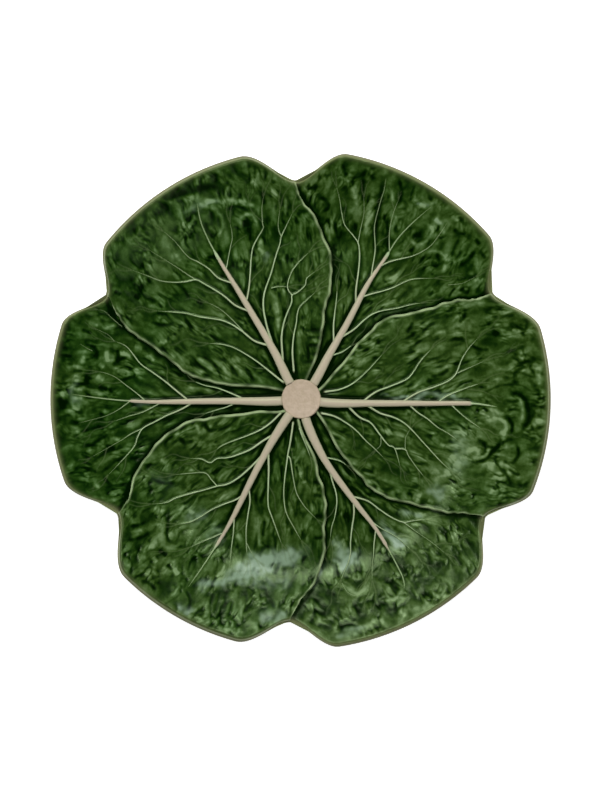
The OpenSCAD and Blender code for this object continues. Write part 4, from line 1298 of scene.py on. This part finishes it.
        attributes = {
            "puckers": puckers * above(0.25, calm) + 2.6 * bold,
            # Painted highlight and clouded glaze, kept off the ridges.
            "milk_and_highlight": milk_and_highlight * bare,
            # Painted shade on the gloss: creases, a neighbour's edge and low skin reflect less of the lights.
            "hollow_shade": np.clip(np.clip(-1.6 * bold, 0, 1) + 0.8 * shade + 1.5 * grooves - 0.7 * puckers, 0, 1),
            # Tone carries the painted highlights and the painted leaf shade along with the glaze's own drift.
            "tone": leaf_tone_and_shade + tones_and_highlights + 0.12 * slow,
            "cool": np.clip(cool * above(0.25, form.past(radius, 0.4, 0.35)) - 0.4 * slow, 0, 1),
            "line": marks["line"],
            "cream": marks["cream"],
            "groove": np.clip(grooves * bare, 0, 1.3),
            "pool": bell(radius / self.pool_mm),
            "edge": edge,
            "rim": 0.55 * bell(np.clip(inset - 0.2, 0, None) / 0.5) + 0.4 * bell(inset / 1.7),
            "shade": np.clip(shade, 0, 1.2),
        }
        return z.reshape(shape), {key: value.reshape(shape) for key, value in attributes.items()}

    def build(self) -> Piece:
        """Makes the leaf as a closed skin: the moulded face above, a plain one sunk in the body below.

        Returns:
            The new object.
        """
        veins = self.vein_ridges()
        self.ridges = [self.rib_ridge(), *veins, *Veinlets(self.form, self.leaf).grow(veins)]
        r, deg, inset = self.plan()
        z, attributes = self.surface(r, deg, inset)
        rows, columns = r.shape
        upper = np.concatenate([polar(r, deg), z[..., None]], axis=-1)
        pick = np.linspace(0, columns - 1, self.under_columns).round().astype(int)[::-1]
        lower = upper[:, pick].copy()
        lower[..., 2] = np.minimum(self.form.dish_z(r[:, pick]) - self.sunk_mm, lower[..., 2] - self.least_mm)
        around = columns + self.under_columns
        points = np.concatenate([upper, lower], axis=1).reshape(-1, 3)
        values = {
            key: np.concatenate([value, value[:, pick]], axis=1).ravel() for key, value in attributes.items()
        }
        tube = self.maker.tube_faces(rows, around)[:, ::-1]
        first_top, last_top = np.arange(columns), (rows - 1) * around + np.arange(columns)
        first_low = np.arange(around - 1, columns - 1, -1)
        last_low = (rows - 1) * around + first_low
        caps = [self.maker.zip_faces(first_top, first_low)[:, ::-1], self.maker.zip_faces(last_top, last_low)]
        LOG.info("%s: %d points", self.name, len(points))
        return self.maker.build(f"{self.name}_skin", points, [tube, *caps], values)


@dataclass
class RidgeSweep:
    """Rounded ridges laid over a leaf: its midrib or its side veins."""

    form: PlateForm
    leaf: int
    maker: MeshMaker
    arc_points: int = 15
    sink_mm: float = 0.55
    keel_mm: float = 0.3
    keel_share: float = 0.9
    lift_mm: float = 0.12
    rise: float = 1.02
    crest_power: float = 0.55
    faint_mm: float = 0.52

    def loops(self, ridge: Ridge) -> tuple[Array, dict[str, Array]]:
        """Carries a rounded section along a ridge.

        A section's upper points stand at cosine of their turn times the half width across the course, and at
        sine of it to the power 0.55 times the height above the leaf, which makes a broad crest with steep
        flanks. Two more points close it underneath.

        Args:
            ridge: the ridge to follow.

        Returns:
            Points as an array of sections, and attributes by name with one value a point.
        """
        way = np.gradient(ridge.course, axis=0)
        way /= np.maximum(np.linalg.norm(way, axis=1, keepdims=True), TINY)
        side = np.stack([-way[:, 1], way[:, 0]], axis=-1)
        turn = np.linspace(0, np.pi, self.arc_points)
        across = np.concatenate([np.cos(turn), [-self.keel_share, self.keel_share]])
        up = np.concatenate([np.sin(turn) ** self.crest_power, [0, 0]])
        offset = across[None, :] * ridge.half[:, None]
        plan = ridge.course[:, None, :] + side[:, None, :] * offset[..., None]
        base = self.form.leaf_z(self.leaf, np.hypot(plan[..., 0], plan[..., 1]))
        lift = self.lift_mm * np.clip(ridge.height / FULL_RIDGE_MM, 0, 1)
        z = base + lift[:, None] + up[None, :] * ridge.height[:, None] * self.rise
        z[:, self.arc_points:] -= self.sink_mm + self.keel_mm
        z[:, [0, self.arc_points - 1]] -= self.sink_mm
        values = {
            "flank": np.broadcast_to(1 - up[None, :], z.shape),
            "cream": np.broadcast_to(ridge.cream[:, None], z.shape),
            "faint": np.broadcast_to(1 - np.clip(ridge.height[:, None] / self.faint_mm, 0, 1), z.shape),
        }
        return np.concatenate([plan, z[..., None]], axis=-1), values

    def build(self, name: str, ridges: list[Ridge]) -> Piece:
        """Makes one object of ridges, each closed at both ends.

        Args:
            name: name of the object.
            ridges: the ridges it holds.

        Returns:
            The new object.
        """
        around = self.arc_points + 2
        points, faces, values, start = [], [], {}, 0
        for ridge in ridges:
            rings, extra = self.loops(ridge)
            count = len(rings)
            points += [rings.reshape(-1, 3), rings[0].mean(axis=0)[None], rings[-1].mean(axis=0)[None]]
            faces.append(self.maker.tube_faces(count, around, start))
            faces.append(self.maker.cap_faces(count, around, start + count * around, start))
            for key, value in extra.items():
                both = [value.ravel(), value[0, :1], value[-1, :1]]
                values.setdefault(key, []).append(np.concatenate(both))
            start += count * around + 2
        flat = {key: np.concatenate(parts) for key, parts in values.items()}
        LOG.info("%s: %d ridges", name, len(ridges))
        return self.maker.build(name, np.concatenate(points), faces, flat)


@dataclass
class Body:
    """Plain lobed body with its rounded lip and its underside, and the foot ring under it."""

    form: PlateForm
    maker: MeshMaker
    around_leaf: int = 96
    notch_crowd: float = 0.06
    flare_rings: int = 9
    bend_rings: int = 10
    bend_lead_mm: float = 3.0
    under_mm: tuple[float, ...] = (0.4, 20.0, 45.0)
    over_mm: tuple[float, ...] = (60.0, 30.0, 0.4)
    foot_margin_mm: float = 3.4
    lip_points: int = 15
    lip_edge_deg: Pair = (-50.0, 70.0)
    lip_worn_deg: Pair = (18.0, 24.0)
    sunk_mm: float = 0.05
    inside_mm: float = 0.12
    foot_around: int = 360
    foot_round: float = 1.1
    foot_arc: int = 7
    foot_wobble_mm: float = 0.05
    foot_grain_mm: float = 3.0
    shoulder_mm: tuple[float, float, float] = (0.05, 0.5, 0.3)

    def directions(self) -> tuple[Array, Array]:
        """Angles all round the plate, closer together at the notches, and the rim's radius in each.

        Returns:
            Angles in degrees and radii in millimetres.
        """
        degs, rims = [], []
        for leaf in range(LEAVES):
            low, high = NOTCH_SHARES[leaf][0], NOTCH_SHARES[leaf + 1][0]
            x = np.arange(self.around_leaf) / self.around_leaf
            deg = low + (x - self.notch_crowd * np.sin(2 * np.pi * x)) * (high - low)
            degs.append(deg)
            rims.append(self.form.rim_r(leaf, deg) - self.inside_mm)
        return np.concatenate(degs), np.concatenate(rims)

    def build(self) -> Piece:
        """Makes the body: rings from the middle of the underside, round the lip and back in above.

        Returns:
            The new object.
        """
        form = self.form
        deg, rim = self.directions()
        half = form.wall / 2
        flare = np.linspace(0, 1, self.flare_rings + 1)[1:]
        bend = np.linspace(form.well_r - self.bend_lead_mm, form.bend_end, self.bend_rings)
        foot = (form.foot_r - self.foot_margin_mm, form.foot_r, form.foot_r + self.foot_margin_mm)
        rings = []
        for r in (*self.under_mm, *foot, *bend):
            rings.append((np.full_like(rim, r), form.dish_z(np.full_like(rim, r)) - form.wall, 0.0, 0.0))
        for u in flare:
            r = form.bend_end + u * (rim - half - form.bend_end)
            rings.append((r, form.dish_z(r) - form.wall, 0.0, 0.0))
        for turn in np.linspace(-90, 90, self.lip_points)[1:]:
            t = math.radians(turn)
            centre = rim - half
            edge = float(ease(np.array((turn - self.lip_edge_deg[0]) / self.lip_edge_deg[1])))
            worn = float(bell(np.array((turn - self.lip_worn_deg[0]) / self.lip_worn_deg[1])))
            z = form.dish_z(centre) - half + half * math.sin(t)
            rings.append((centre + half * math.cos(t), z, edge, worn))
        for u in flare[::-1][1:]:
            r = form.bend_end + u * (rim - half - form.bend_end)
            rings.append((r, form.dish_z(r) - self.sunk_mm, 1.0, 0.0))
        for r in (*bend[::-1], *self.over_mm):
            rings.append((np.full_like(rim, r), form.dish_z(np.full_like(rim, r)) - self.sunk_mm, 1.0, 0.0))
        count = len(deg)
        points = np.concatenate([np.column_stack([polar(r, deg), z]) for r, z, _, _ in rings])
        edge = np.concatenate([np.full(count, e) for _, _, e, _ in rings])
        worn = np.concatenate([np.full(count, w) for _, _, _, w in rings])
        poles = np.array([[0, 0, form.foot_h], [0, 0, form.floor_z - self.sunk_mm]])
        tube = self.maker.tube_faces(len(rings), count)
        caps = self.maker.cap_faces(len(rings), count, len(points))
        values = {"edge": np.concatenate([edge, [0, 1]]), "worn": np.concatenate([worn, [0, 0]])}
        return self.maker.build("plate_body_shell", np.vstack([points, poles]), [tube, caps], values)

    def build_foot(self) -> Piece:
        """Makes the foot ring: a section with rounded lower edges and flared shoulders, turned about Z.

        Returns:
            The new object.
        """
        form = self.form
        half, curve = form.foot_w / 2, self.foot_round
        turn = np.radians(np.linspace(0, 90, self.foot_arc))
        arc = turn[::-1]
        right = np.column_stack([half - curve + curve * np.cos(arc), curve - curve * np.sin(arc)])
        left = right[::-1] * (-1, 1)
        narrow, wide, up = self.shoulder_mm
        shoulder = np.array([[half + narrow, form.foot_h - up], [half + wide, form.foot_h + up]])
        section = np.vstack([shoulder[::-1] * (-1, 1), left, right, shoulder])
        count, size = self.foot_around, (self.foot_around, len(section))
        deg = np.linspace(0, 360, count, endpoint=False)
        r = form.foot_r + section[None, :, 0]
        plan = polar(np.broadcast_to(r, size), np.broadcast_to(deg[:, None], size))
        rough = GradientNoise(901).grains(plan[..., 0], plan[..., 1], self.foot_grain_mm)
        low = section[:, 1] < 0.4
        z = np.broadcast_to(section[:, 1], size) + np.clip(self.foot_wobble_mm * rough, 0, None) * low
        points = np.concatenate([plan, z[..., None]], axis=-1).reshape(-1, 3)
        faces = self.maker.tube_faces(count + 1, len(section)) % len(points)
        return self.maker.build("foot_ring_clay", points, [faces[:, ::-1]], {})


@dataclass
class Stem:
    """Cut end of the cabbage stem in the middle: a low disc with a soft rim and a pithy, uneven face."""

    form: PlateForm
    maker: MeshMaker
    rings: int = 90
    around: int = 200
    hole_mm: float = 0.25
    edge_mm: float = 0.8
    edge_rings: int = 9
    sunk_mm: float = 0.3
    dish_mm: float = 0.42
    grain_mm: Pair = (2.6, 1.1)
    grain_lift_mm: float = 0.07

    def build(self) -> Piece:
        """Makes the stem as a height over its disc.

        The face dips towards the middle by a parabola, carries a faint grain from noise of two sizes, and
        rounds over to an upright side that goes down into the floor.

        Returns:
            The new object.
        """
        form, edge = self.form, self.edge_mm
        flat_r = form.core_r - edge
        inner = np.linspace(self.hole_mm, flat_r, self.rings)
        turn = np.radians(np.linspace(0, 90, self.edge_rings + 1)[1:])
        outer = flat_r + edge * np.sin(turn)
        r = np.concatenate([inner, outer, [form.core_r, form.core_r]])
        side = [edge + 1, form.core_h + self.sunk_mm]
        drop = np.concatenate([np.zeros(self.rings), edge * (1 - np.cos(turn)), side])
        deg = np.linspace(0, 360, self.around, endpoint=False)
        grid_r, grid_deg = np.meshgrid(r, deg, indexing="ij")
        plan = polar(grid_r, grid_deg)
        x, y = plan[..., 0], plan[..., 1]
        face = 1 - ease((grid_r - flat_r) / edge)
        coarse, fine = self.grain_mm
        grain = GradientNoise(701).grains(x, y, coarse) + 0.6 * GradientNoise(702).grains(x, y, fine)
        dish = self.dish_mm * (1 - (grid_r / flat_r) ** 2) * face
        top = form.floor_z + form.core_h
        z = np.minimum(top - drop[:, None] - dish + face * self.grain_lift_mm * grain, top)
        points = np.concatenate([plan, z[..., None]], axis=-1)[::-1].reshape(-1, 3)
        poles = np.array([[0, 0, form.floor_z - self.sunk_mm], [0, 0, top - self.dish_mm]])
        tube = self.maker.tube_faces(len(r), self.around)
        caps = self.maker.cap_faces(len(r), self.around, len(points))
        values = {
            "grain": np.concatenate([grain[::-1].ravel(), [0, 0]]),
            "side": np.concatenate([(1 - face)[::-1].ravel(), [1, 0]]),
        }
        return self.maker.build("stem_core_disc", np.vstack([points, poles]), [tube, caps], values)


@dataclass
class Shader:
    """Builds one material's nodes, with links given as sockets."""

    name: str

    def __post_init__(self) -> None:
        """Starts the material with its output and the Object coordinates that patterns read."""
        self.material = bpy.data.materials.new(self.name)
        self.material.use_nodes = True
        self.tree = self.material.node_tree
        self.tree.nodes.clear()
        self.output = self.tree.nodes.new("ShaderNodeOutputMaterial")
        self.place = self.add("TexCoord", out="Object")

    def add(self, kind: str, inputs: dict[str | int, object] | None = None, out: str | int = 0,
            **settings: object) -> Socket:
        """Adds a node with its settings and links.

        Args:
            kind: Blender's type name of the node, without the ShaderNode in front.
            inputs: by input name or index, a plain value, a socket to link, or the name of a value that the
                mesh carries at each point.
            out: name or index of the output that is wanted.
            **settings: properties by name.

        Returns:
            That output.
        """
        node = self.tree.nodes.new(f"ShaderNode{kind}")
        for key, value in settings.items():
            setattr(node, key, value)
        for key, value in (inputs or {}).items():
            if isinstance(value, str):
                value = self.add("Attribute", out="Fac", attribute_name=value)
            if isinstance(value, Socket):
                self.tree.links.new(value, node.inputs[key])
            else:
                node.inputs[key].default_value = value
        return node.outputs[out]

    def grains(self, size_mm: float, detail: float = 3.0) -> dict[str | int, object]:
        """Inputs for a noise whose grains are so far across, with so many finer layers."""
        return {"Vector": self.place, "Scale": 1.0 / (size_mm * MM), "Detail": detail, "Roughness": 0.55}

    def coat(self, colour: object, where: object, share: float, tint: str) -> Socket:
        """Lays a coat over a colour. How much of it shows is its share times where it lies, from 0 to 1.

        Args:
            colour: what lies below, as a colour or a socket.
            where: where the coat lies, as a socket or the name of a value of the mesh.
            share: how much of it shows at most.
            tint: its hex colour.

        Returns:
            The colour with its coat.
        """
        shown = self.add("Math", {0: where, 1: share}, operation="MULTIPLY", use_clamp=True)
        return self.add("Mix", {0: shown, 6: colour, 7: rgba(tint)}, 2, data_type="RGBA")

    def finish(self, **inputs: object) -> bpy.types.Material:
        """Adds the surface shader and links it to the output.

        Args:
            **inputs: inputs of the Principled shader by name, with underscores for spaces.

        Returns:
            The finished material.
        """
        values = {key.replace("_", " "): value for key, value in inputs.items()}
        self.tree.links.new(self.add("BsdfPrincipled", values, "BSDF"), self.output.inputs["Surface"])
        return self.material


@dataclass(frozen=True)
class GlazeLook:
    """What every glazed surface here shares: a lead-type majolica glaze, poured and fired to a soft gloss."""

    roughness: float = 0.2
    gloss: float = 0.17
    ior: float = 1.5
    sheen: str = "#deffbe"
    milky_sheen: str = "#f0fff4"
    hollow_shade_loss: float = 0.9
    orange_peel_mm: float = 1.8
    peel_depth_mm: float = 0.04
    peel_strength: float = 0.5

    def peel(self, shader: Shader) -> Socket:
        """Waves the normal gently, as the glaze's orange peel does, which breaks up its reflections.

        Args:
            shader: the material's nodes so far.

        Returns:
            The normal.
        """
        grains = shader.add("TexNoise", shader.grains(self.orange_peel_mm, 2.0), "Fac")
        return shader.add("Bump", {
            "Strength": self.peel_strength, "Distance": self.peel_depth_mm * MM, "Height": grains}, "Normal")

    def surface(self, shader: Shader, colour: Socket, hollow_shade: str = "", milk_and_highlight: str = "") -> bpy.types.Material:
        """Closes a glazed material over its colour.

        Args:
            shader: the material's nodes so far.
            colour: its colour.
            hollow_shade: name of the mesh's value for creases, which see little of the lights, cutting the
                gloss as painted shade, or nothing.
            milk_and_highlight: name of its value for clouded glaze and painted highlight, which reflects
                without the green, or nothing.

        Returns:
            The finished material.
        """
        gloss: float | Socket = self.gloss
        sheen: tuple[float, ...] | Socket = rgba(self.sheen)
        if hollow_shade:
            # Painted shade on the gloss: less reflection where creases would hide the lights.
            terms = {0: hollow_shade, 1: -self.hollow_shade_loss * self.gloss, 2: self.gloss}
            gloss = shader.add("Math", terms, operation="MULTIPLY_ADD")
        if milk_and_highlight:
            sheen = shader.coat(sheen, milk_and_highlight, 1.0, self.milky_sheen)
        return shader.finish(
            Base_Color=colour, Roughness=self.roughness, IOR=self.ior, Specular_IOR_Level=gloss,
            Specular_Tint=sheen, Normal=self.peel(shader))


@dataclass(frozen=True)
class GreenGlaze:
    """Copper-green majolica glaze, poured over moulded leaves.

    The eye sees it near black where it pools, deep green where it lies even and pale olive where it breaks.
    """

    look: GlazeLook = GlazeLook()
    pooled: str = "#031400"
    deep: str = "#142d07"
    middle: str = "#2a4312"
    medium: str = "#405a27"
    light: str = "#5b7545"
    broken: str = "#839c6d"
    cooled: str = "#cffae2"
    # Colour of the clouded glaze, which also paints the highlight in the bend.
    milk_and_highlight_colour: str = "#8ca68a"
    margin: str = "#a9be8c"
    lip: str = "#838a5e"
    vein: str = "#879b6a"
    cream: str = "#b9ab93"
    base: float = 0.5
    skin_gain: float = 0.46
    drift_gain: float = 0.42
    drift_mm: float = 2.4
    groove_loss: float = 0.85
    shade_loss: float = 0.62
    pool_loss: float = 0.16
    warm_from: float = 1.3
    milk_and_highlight_gain: Pair = (0.8, 0.4)
    line_share: float = 0.5
    cover: float = 0.9

    def thinness(self, shader: Shader) -> Socket:
        """Works out how thin the glaze lies, from 0 in a pool to 1 where it breaks.

        It is the skin's height, with slow and fine drifts of the glaze itself, less in grooves and in the
        deep of the well, and less again under a neighbour's edge, by painted shade and pooled glaze.

        Args:
            shader: the material's nodes so far.

        Returns:
            The thinness.
        """
        add = shader.add
        thin = add("Math", {0: "puckers", 1: self.skin_gain, 2: self.base}, operation="MULTIPLY_ADD")
        thin = add("Math", {0: thin, 1: "tone"}, operation="ADD")
        noise = add("TexNoise", shader.grains(self.drift_mm, 4.0), "Fac")
        drift = add("Math", {0: noise, 1: 0.5}, operation="SUBTRACT")
        drift = add("Math", {0: drift, 1: self.drift_gain}, operation="MULTIPLY")
        thin = add("Math", {0: thin, 1: drift}, operation="ADD")
        losses = (("groove", self.groove_loss), ("shade", self.shade_loss), ("pool", self.pool_loss))
        for key, loss in losses:
            less = add("Math", {0: key, 1: loss}, operation="MULTIPLY")
            thin = add("Math", {0: thin, 1: less}, operation="SUBTRACT", use_clamp=key == losses[-1][0])
        return thin

    def material(self) -> bpy.types.Material:
        """Makes the leaf material: a ramp of greens by thinness, cooled, clouded with painted highlight and
        coated.

        Returns:
            The material.
        """
        shader = Shader("green_majolica_glaze")
        add, thin = shader.add, self.thinness(shader)
        colour = add("ValToRGB", {"Fac": thin}, "Color")
        elements = colour.node.color_ramp.elements
        stops = (
            (0.0, self.pooled), (1.0, self.broken), (0.28, self.deep), (0.46, self.middle),
            (0.62, self.medium), (0.80, self.light))
        for k, (place, tint) in enumerate(stops):
            element = elements[k] if k < 2 else elements.new(place)
            element.position, element.color = place, rgba(tint)
        thick = add("Math", {0: self.warm_from, 1: thin}, operation="SUBTRACT")
        cool = add("Math", {0: "cool", 1: thick}, operation="MULTIPLY", use_clamp=True)
        terms = {0: cool, 6: colour, 7: rgba(self.cooled)}
        colour = add("Mix", terms, 2, data_type="RGBA", blend_type="MULTIPLY")
        # Clouded glaze and painted highlight show more where the glaze lies thin.
        gain, least = self.milk_and_highlight_gain
        clouds = add("Math", {0: thin, 1: gain, 2: least}, operation="MULTIPLY_ADD")
        milk_and_highlight_share = add("Math", {0: "milk_and_highlight", 1: clouds}, operation="MULTIPLY")
        coats = (
            (milk_and_highlight_share, 1.0, self.milk_and_highlight_colour), ("edge", self.cover, self.margin), ("rim", self.cover, self.lip),
            ("line", self.line_share, self.vein), ("cream", self.cover, self.cream))
        for where, share, tint in coats:
            colour = shader.coat(colour, where, share, tint)
        return self.look.surface(shader, colour, "hollow_shade", "milk_and_highlight")


@dataclass(frozen=True)
class CreamGlaze:
    """Cream majolica glaze on the ribs, with the green glaze run up against their flanks."""

    name: str
    look: GlazeLook = GlazeLook()
    cream: str = "#cabda6"
    shadowed: str = "#a59a7f"
    vein: str = "#9ab680"
    bright: str = "#cbdeb4"
    fine: str = "#6f8a55"
    flank: str = "#34521f"
    streak_mm: float = 1.4
    streak_share: float = 0.28
    break_mm: float = 7.0
    flank_share: float = 0.9
    low_power: float = 4.0
    low_share: float = 0.8

    def material(self) -> bpy.types.Material:
        """Makes the rib and vein material: cream or pale green on the crest, green low on the flanks.

        Returns:
            The material.
        """
        shader = Shader(self.name)
        add, coat = shader.add, shader.coat
        streaks = add("TexNoise", shader.grains(self.streak_mm), "Fac")
        warm = coat(rgba(self.cream), streaks, self.streak_share, self.shadowed)
        breaks = add("TexNoise", shader.grains(self.break_mm, 1.0), "Fac")
        pale = coat(coat(rgba(self.vein), breaks, 1.0, self.bright), "faint", 1.0, self.fine)
        colour = add("Mix", {0: "cream", 6: pale, 7: warm}, 2, data_type="RGBA")
        colour = coat(colour, "flank", self.flank_share, self.vein)
        low = add("Math", {0: "flank", 1: self.low_power}, operation="POWER")
        return self.look.surface(shader, coat(colour, low, self.low_share, self.flank))


@dataclass(frozen=True)
class BodyGlaze:
    """Thin green glaze on the underside, broken to olive along the lip and to brown on its outer turn."""

    look: GlazeLook = GlazeLook()
    under: str = "#3a552b"
    mottle: str = "#263d1b"
    lip: str = "#858a66"
    worn: str = "#645c42"
    mottle_mm: float = 9.0

    def material(self) -> bpy.types.Material:
        """Makes the body's material: mottled green underneath, olive and brown where the lip is.

        Returns:
            The material.
        """
        shader = Shader("thin_green_glaze_on_body")
        mottles = shader.add("TexNoise", shader.grains(self.mottle_mm, 4.0), "Fac")
        colour = shader.coat(rgba(self.under), mottles, 1.0, self.mottle)
        for key, tint in (("edge", self.lip), ("worn", self.worn)):
            colour = shader.coat(colour, key, 1.0, tint)
        return self.look.surface(shader, colour)


@dataclass(frozen=True)
class StemGlaze:
    """Cream glaze on the cut stem, slightly matt, with a pithy grain and a darker buff round its side."""

    look: GlazeLook = GlazeLook(roughness=0.4, gloss=0.2, sheen="#ffffff")
    cream: str = "#cdbaa3"
    pith: str = "#b8a68b"
    side: str = "#a29a78"
    pith_share: float = 0.35
    side_power: float = 2.0
    side_share: float = 0.9

    def material(self) -> bpy.types.Material:
        """Makes the stem's material: pith where the grain lies low, a darker buff down the side.

        Returns:
            The material.
        """
        shader = Shader("cream_glaze_on_stem")
        terms = {0: "grain", 1: -self.pith_share, 2: self.pith_share}
        pithy = shader.add("Math", terms, operation="MULTIPLY_ADD")
        colour = shader.coat(rgba(self.cream), pithy, 1.0, self.pith)
        low = shader.add("Math", {0: "side", 1: self.side_power}, operation="POWER")
        return self.look.surface(shader, shader.coat(colour, low, self.side_share, self.side))


@dataclass(frozen=True)
class BareClay:
    """Unglazed earthenware, wiped clean before firing: matt, buff, with dark specks of grog."""

    buff: str = "#c7ab83"
    dusky: str = "#b8996f"
    speck: str = "#8a6f4e"
    grog_mm: float = 0.5
    grog_from: float = 0.66
    grog_share: float = 0.6
    cloud_mm: float = 12.0
    tooth_mm: float = 0.08
    tooth_strength: float = 0.6
    roughness: float = 0.85

    def material(self) -> bpy.types.Material:
        """Makes the clay's material, with specks and a fine tooth from the same grain size.

        Returns:
            The material.
        """
        shader = Shader("bare_earthenware")
        grains = shader.add("TexNoise", shader.grains(self.grog_mm, 2.0), "Fac")
        specks = shader.add("Math", {0: grains, 1: self.grog_from}, operation="GREATER_THAN")
        clouds = shader.add("TexNoise", shader.grains(self.cloud_mm), "Fac")
        colour = shader.coat(rgba(self.buff), clouds, 1.0, self.dusky)
        colour = shader.coat(colour, specks, self.grog_share, self.speck)
        tooth = shader.add("Bump", {
            "Strength": self.tooth_strength, "Distance": self.tooth_mm * MM, "Height": grains}, "Normal")
        return shader.finish(Base_Color=colour, Roughness=self.roughness, Normal=tooth)


@dataclass(frozen=True)
class SoftLight:
    """One rectangular softbox, aimed at the plate."""

    name: str
    place: tuple[float, float, float]
    size: Pair
    watts: float


@dataclass
class Studio:
    """Pale floor, soft lights and the camera straight above the plate."""

    view: PhotoView
    lights: tuple[SoftLight, ...] = (
        SoftLight("north_softbox", (-0.1, 0.54, 1.2), (0.8, 0.42), 14.2),
        SoftLight("south_east_softbox", (0.72, -0.84, 1.15), (0.5, 0.5), 1.2),
    )
    air_strength: float = 0.8
    air_stops: tuple[Pair, ...] = (
        (0.0, 0.7), (0.3, 0.75), (0.42, 0.35), (0.52, 0.01), (1.0, 0.005))
    floor_mm: float = 1600.0
    floor_z_mm: float = -0.02
    floor_points: int = 33
    paper: str = "#ffffff"
    paper_cloud: str = "#fbfbfa"
    paper_cloud_mm: float = 40.0
    paper_roughness: float = 0.9
    paper_glow: float = 0.95

    def floor(self) -> Piece:
        """Makes the pale floor, a level grid just below the plane that the foot ring rests on.

        Returns:
            The new object.
        """
        side = np.linspace(-self.floor_mm, self.floor_mm, self.floor_points)
        x, y = np.meshgrid(side, side, indexing="ij")
        points = np.stack([x, y, np.full_like(x, self.floor_z_mm)], axis=-1).reshape(-1, 3)
        count = self.floor_points
        n, k = np.meshgrid(np.arange(count - 1), np.arange(count - 1), indexing="ij")
        a = n * count + k
        faces = np.stack([a, a + count, a + count + 1, a + 1], axis=-1).reshape(-1, 4)
        piece = MeshMaker().build("studio_floor", points, [faces], {})
        shader = Shader("white_paper_floor")
        clouds = shader.add("TexNoise", shader.grains(self.paper_cloud_mm), "Fac")
        colour = shader.coat(rgba(self.paper), clouds, 1.0, self.paper_cloud)
        piece.data.materials.append(shader.finish(
            Base_Color=colour, Roughness=self.paper_roughness,
            Emission_Color=rgba(self.paper), Emission_Strength=self.paper_glow))
        return piece

    def light(self, lamp: SoftLight) -> Piece:
        """Hangs one softbox and turns it towards the plate.

        Args:
            lamp: the softbox.

        Returns:
            The new light.
        """
        data = bpy.data.lights.new(lamp.name, "AREA")
        data.shape = "RECTANGLE"
        data.size, data.size_y = lamp.size
        data.energy = lamp.watts
        item = bpy.data.objects.new(lamp.name, data)
        item.location = lamp.place
        x, y, z = lamp.place
        item.rotation_euler = (math.acos(z / math.sqrt(x * x + y * y + z * z)), 0, math.atan2(x, -y))
        bpy.context.scene.collection.objects.link(item)
        return item

    def camera(self) -> Piece:
        """Hangs the camera straight above, so that the plate fills as much of the frame as in the photo.

        Returns:
            The camera.
        """
        view = self.view
        data = bpy.data.cameras.new("overhead_camera")
        data.lens, data.sensor_width = view.lens_mm, view.sensor_mm
        camera = bpy.data.objects.new("overhead_camera", data)
        shift_x = (view.photo_w / 2 - view.axis_px[0]) * view.mm_per_px * MM
        shift_y = (view.axis_px[1] - view.photo_h / 2) * view.mm_per_px * MM
        camera.location = (shift_x, shift_y, (view.rim_mm + view.distance) * MM)
        bpy.context.scene.collection.objects.link(camera)
        bpy.context.scene.camera = camera
        return camera

    def world(self) -> None:
        """Fills the studio with pale light from all round, up to about 30 degrees, under a dark ceiling."""
        world = bpy.data.worlds.new("studio_air")
        world.use_nodes = True
        tree = world.node_tree
        back = tree.nodes["Background"]
        place = tree.nodes.new("ShaderNodeTexCoord")
        split = tree.nodes.new("ShaderNodeSeparateXYZ")
        ramp = tree.nodes.new("ShaderNodeValToRGB")
        tree.links.new(place.outputs["Generated"], split.inputs[0])
        tree.links.new(split.outputs["Z"], ramp.inputs["Fac"])
        tree.links.new(ramp.outputs["Color"], back.inputs["Color"])
        for k, (height, share) in enumerate(self.air_stops):
            element = ramp.color_ramp.elements[k] if k < 2 else ramp.color_ramp.elements.new(height)
            element.position = height
            element.color = (share, share, share, 1.0)
        back.inputs["Strength"].default_value = self.air_strength
        bpy.context.scene.world = world
        bpy.context.scene.view_settings.view_transform = "Standard"

    def build(self) -> None:
        """Sets the whole studio up."""
        self.floor()
        for lamp in self.lights:
            self.light(lamp)
        self.camera()
        self.world()


@dataclass
class CabbagePlate:
    """The whole plate, piece by piece, each standing for its CAD node."""

    view: PhotoView
    form: PlateForm
    maker: MeshMaker = field(default_factory=MeshMaker)

    def dress(self, piece: Piece, material: bpy.types.Material, node: str) -> None:
        """Gives a piece its material, hides the CAD node that it stands for, and lets it ride on the plate.

        Args:
            piece: the new object.
            material: its material.
            node: the CAD node that it stands for.
        """
        piece.data.materials.append(material)
        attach(piece, "root")
        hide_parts(node)
        LOG.info("%s stands for %s", piece.name, node)

    def build(self) -> None:
        """Builds every piece in order."""
        glaze = GreenGlaze().material()
        rib_glaze = CreamGlaze("cream_glaze_on_ribs").material()
        vein_glaze = CreamGlaze("pale_glaze_on_veins").material()
        body = Body(self.form, self.maker)
        self.dress(body.build(), BodyGlaze().material(), "plate_body")
        self.dress(body.build_foot(), BareClay().material(), "foot_ring")
        stem = Stem(self.form, self.maker)
        self.dress(stem.build(), StemGlaze().material(), "stem_core")
        for leaf in range(LEAVES):
            skin = LeafSkin(self.form, leaf, self.maker, self.view)
            self.dress(skin.build(), glaze, skin.name)
            sweep = RidgeSweep(self.form, leaf, self.maker)
            rib = sweep.build(f"midrib_{leaf + 1}_ridge", [skin.rib_ridge()])
            self.dress(rib, rib_glaze, f"midrib_{leaf + 1}")
            veins = sweep.build(f"side_veins_{leaf + 1}_ridges", skin.vein_ridges())
            self.dress(veins, vein_glaze, f"side_veins_{leaf + 1}")


def main() -> None:
    logging.basicConfig(level=logging.INFO, format="%(message)s")
    form = PlateForm()
    view = PhotoView(form, CAD_BOX[1][2] / MM)
    Studio(view).build()
    CabbagePlate(view, form).build()


if __name__ == "__main__":
    main()
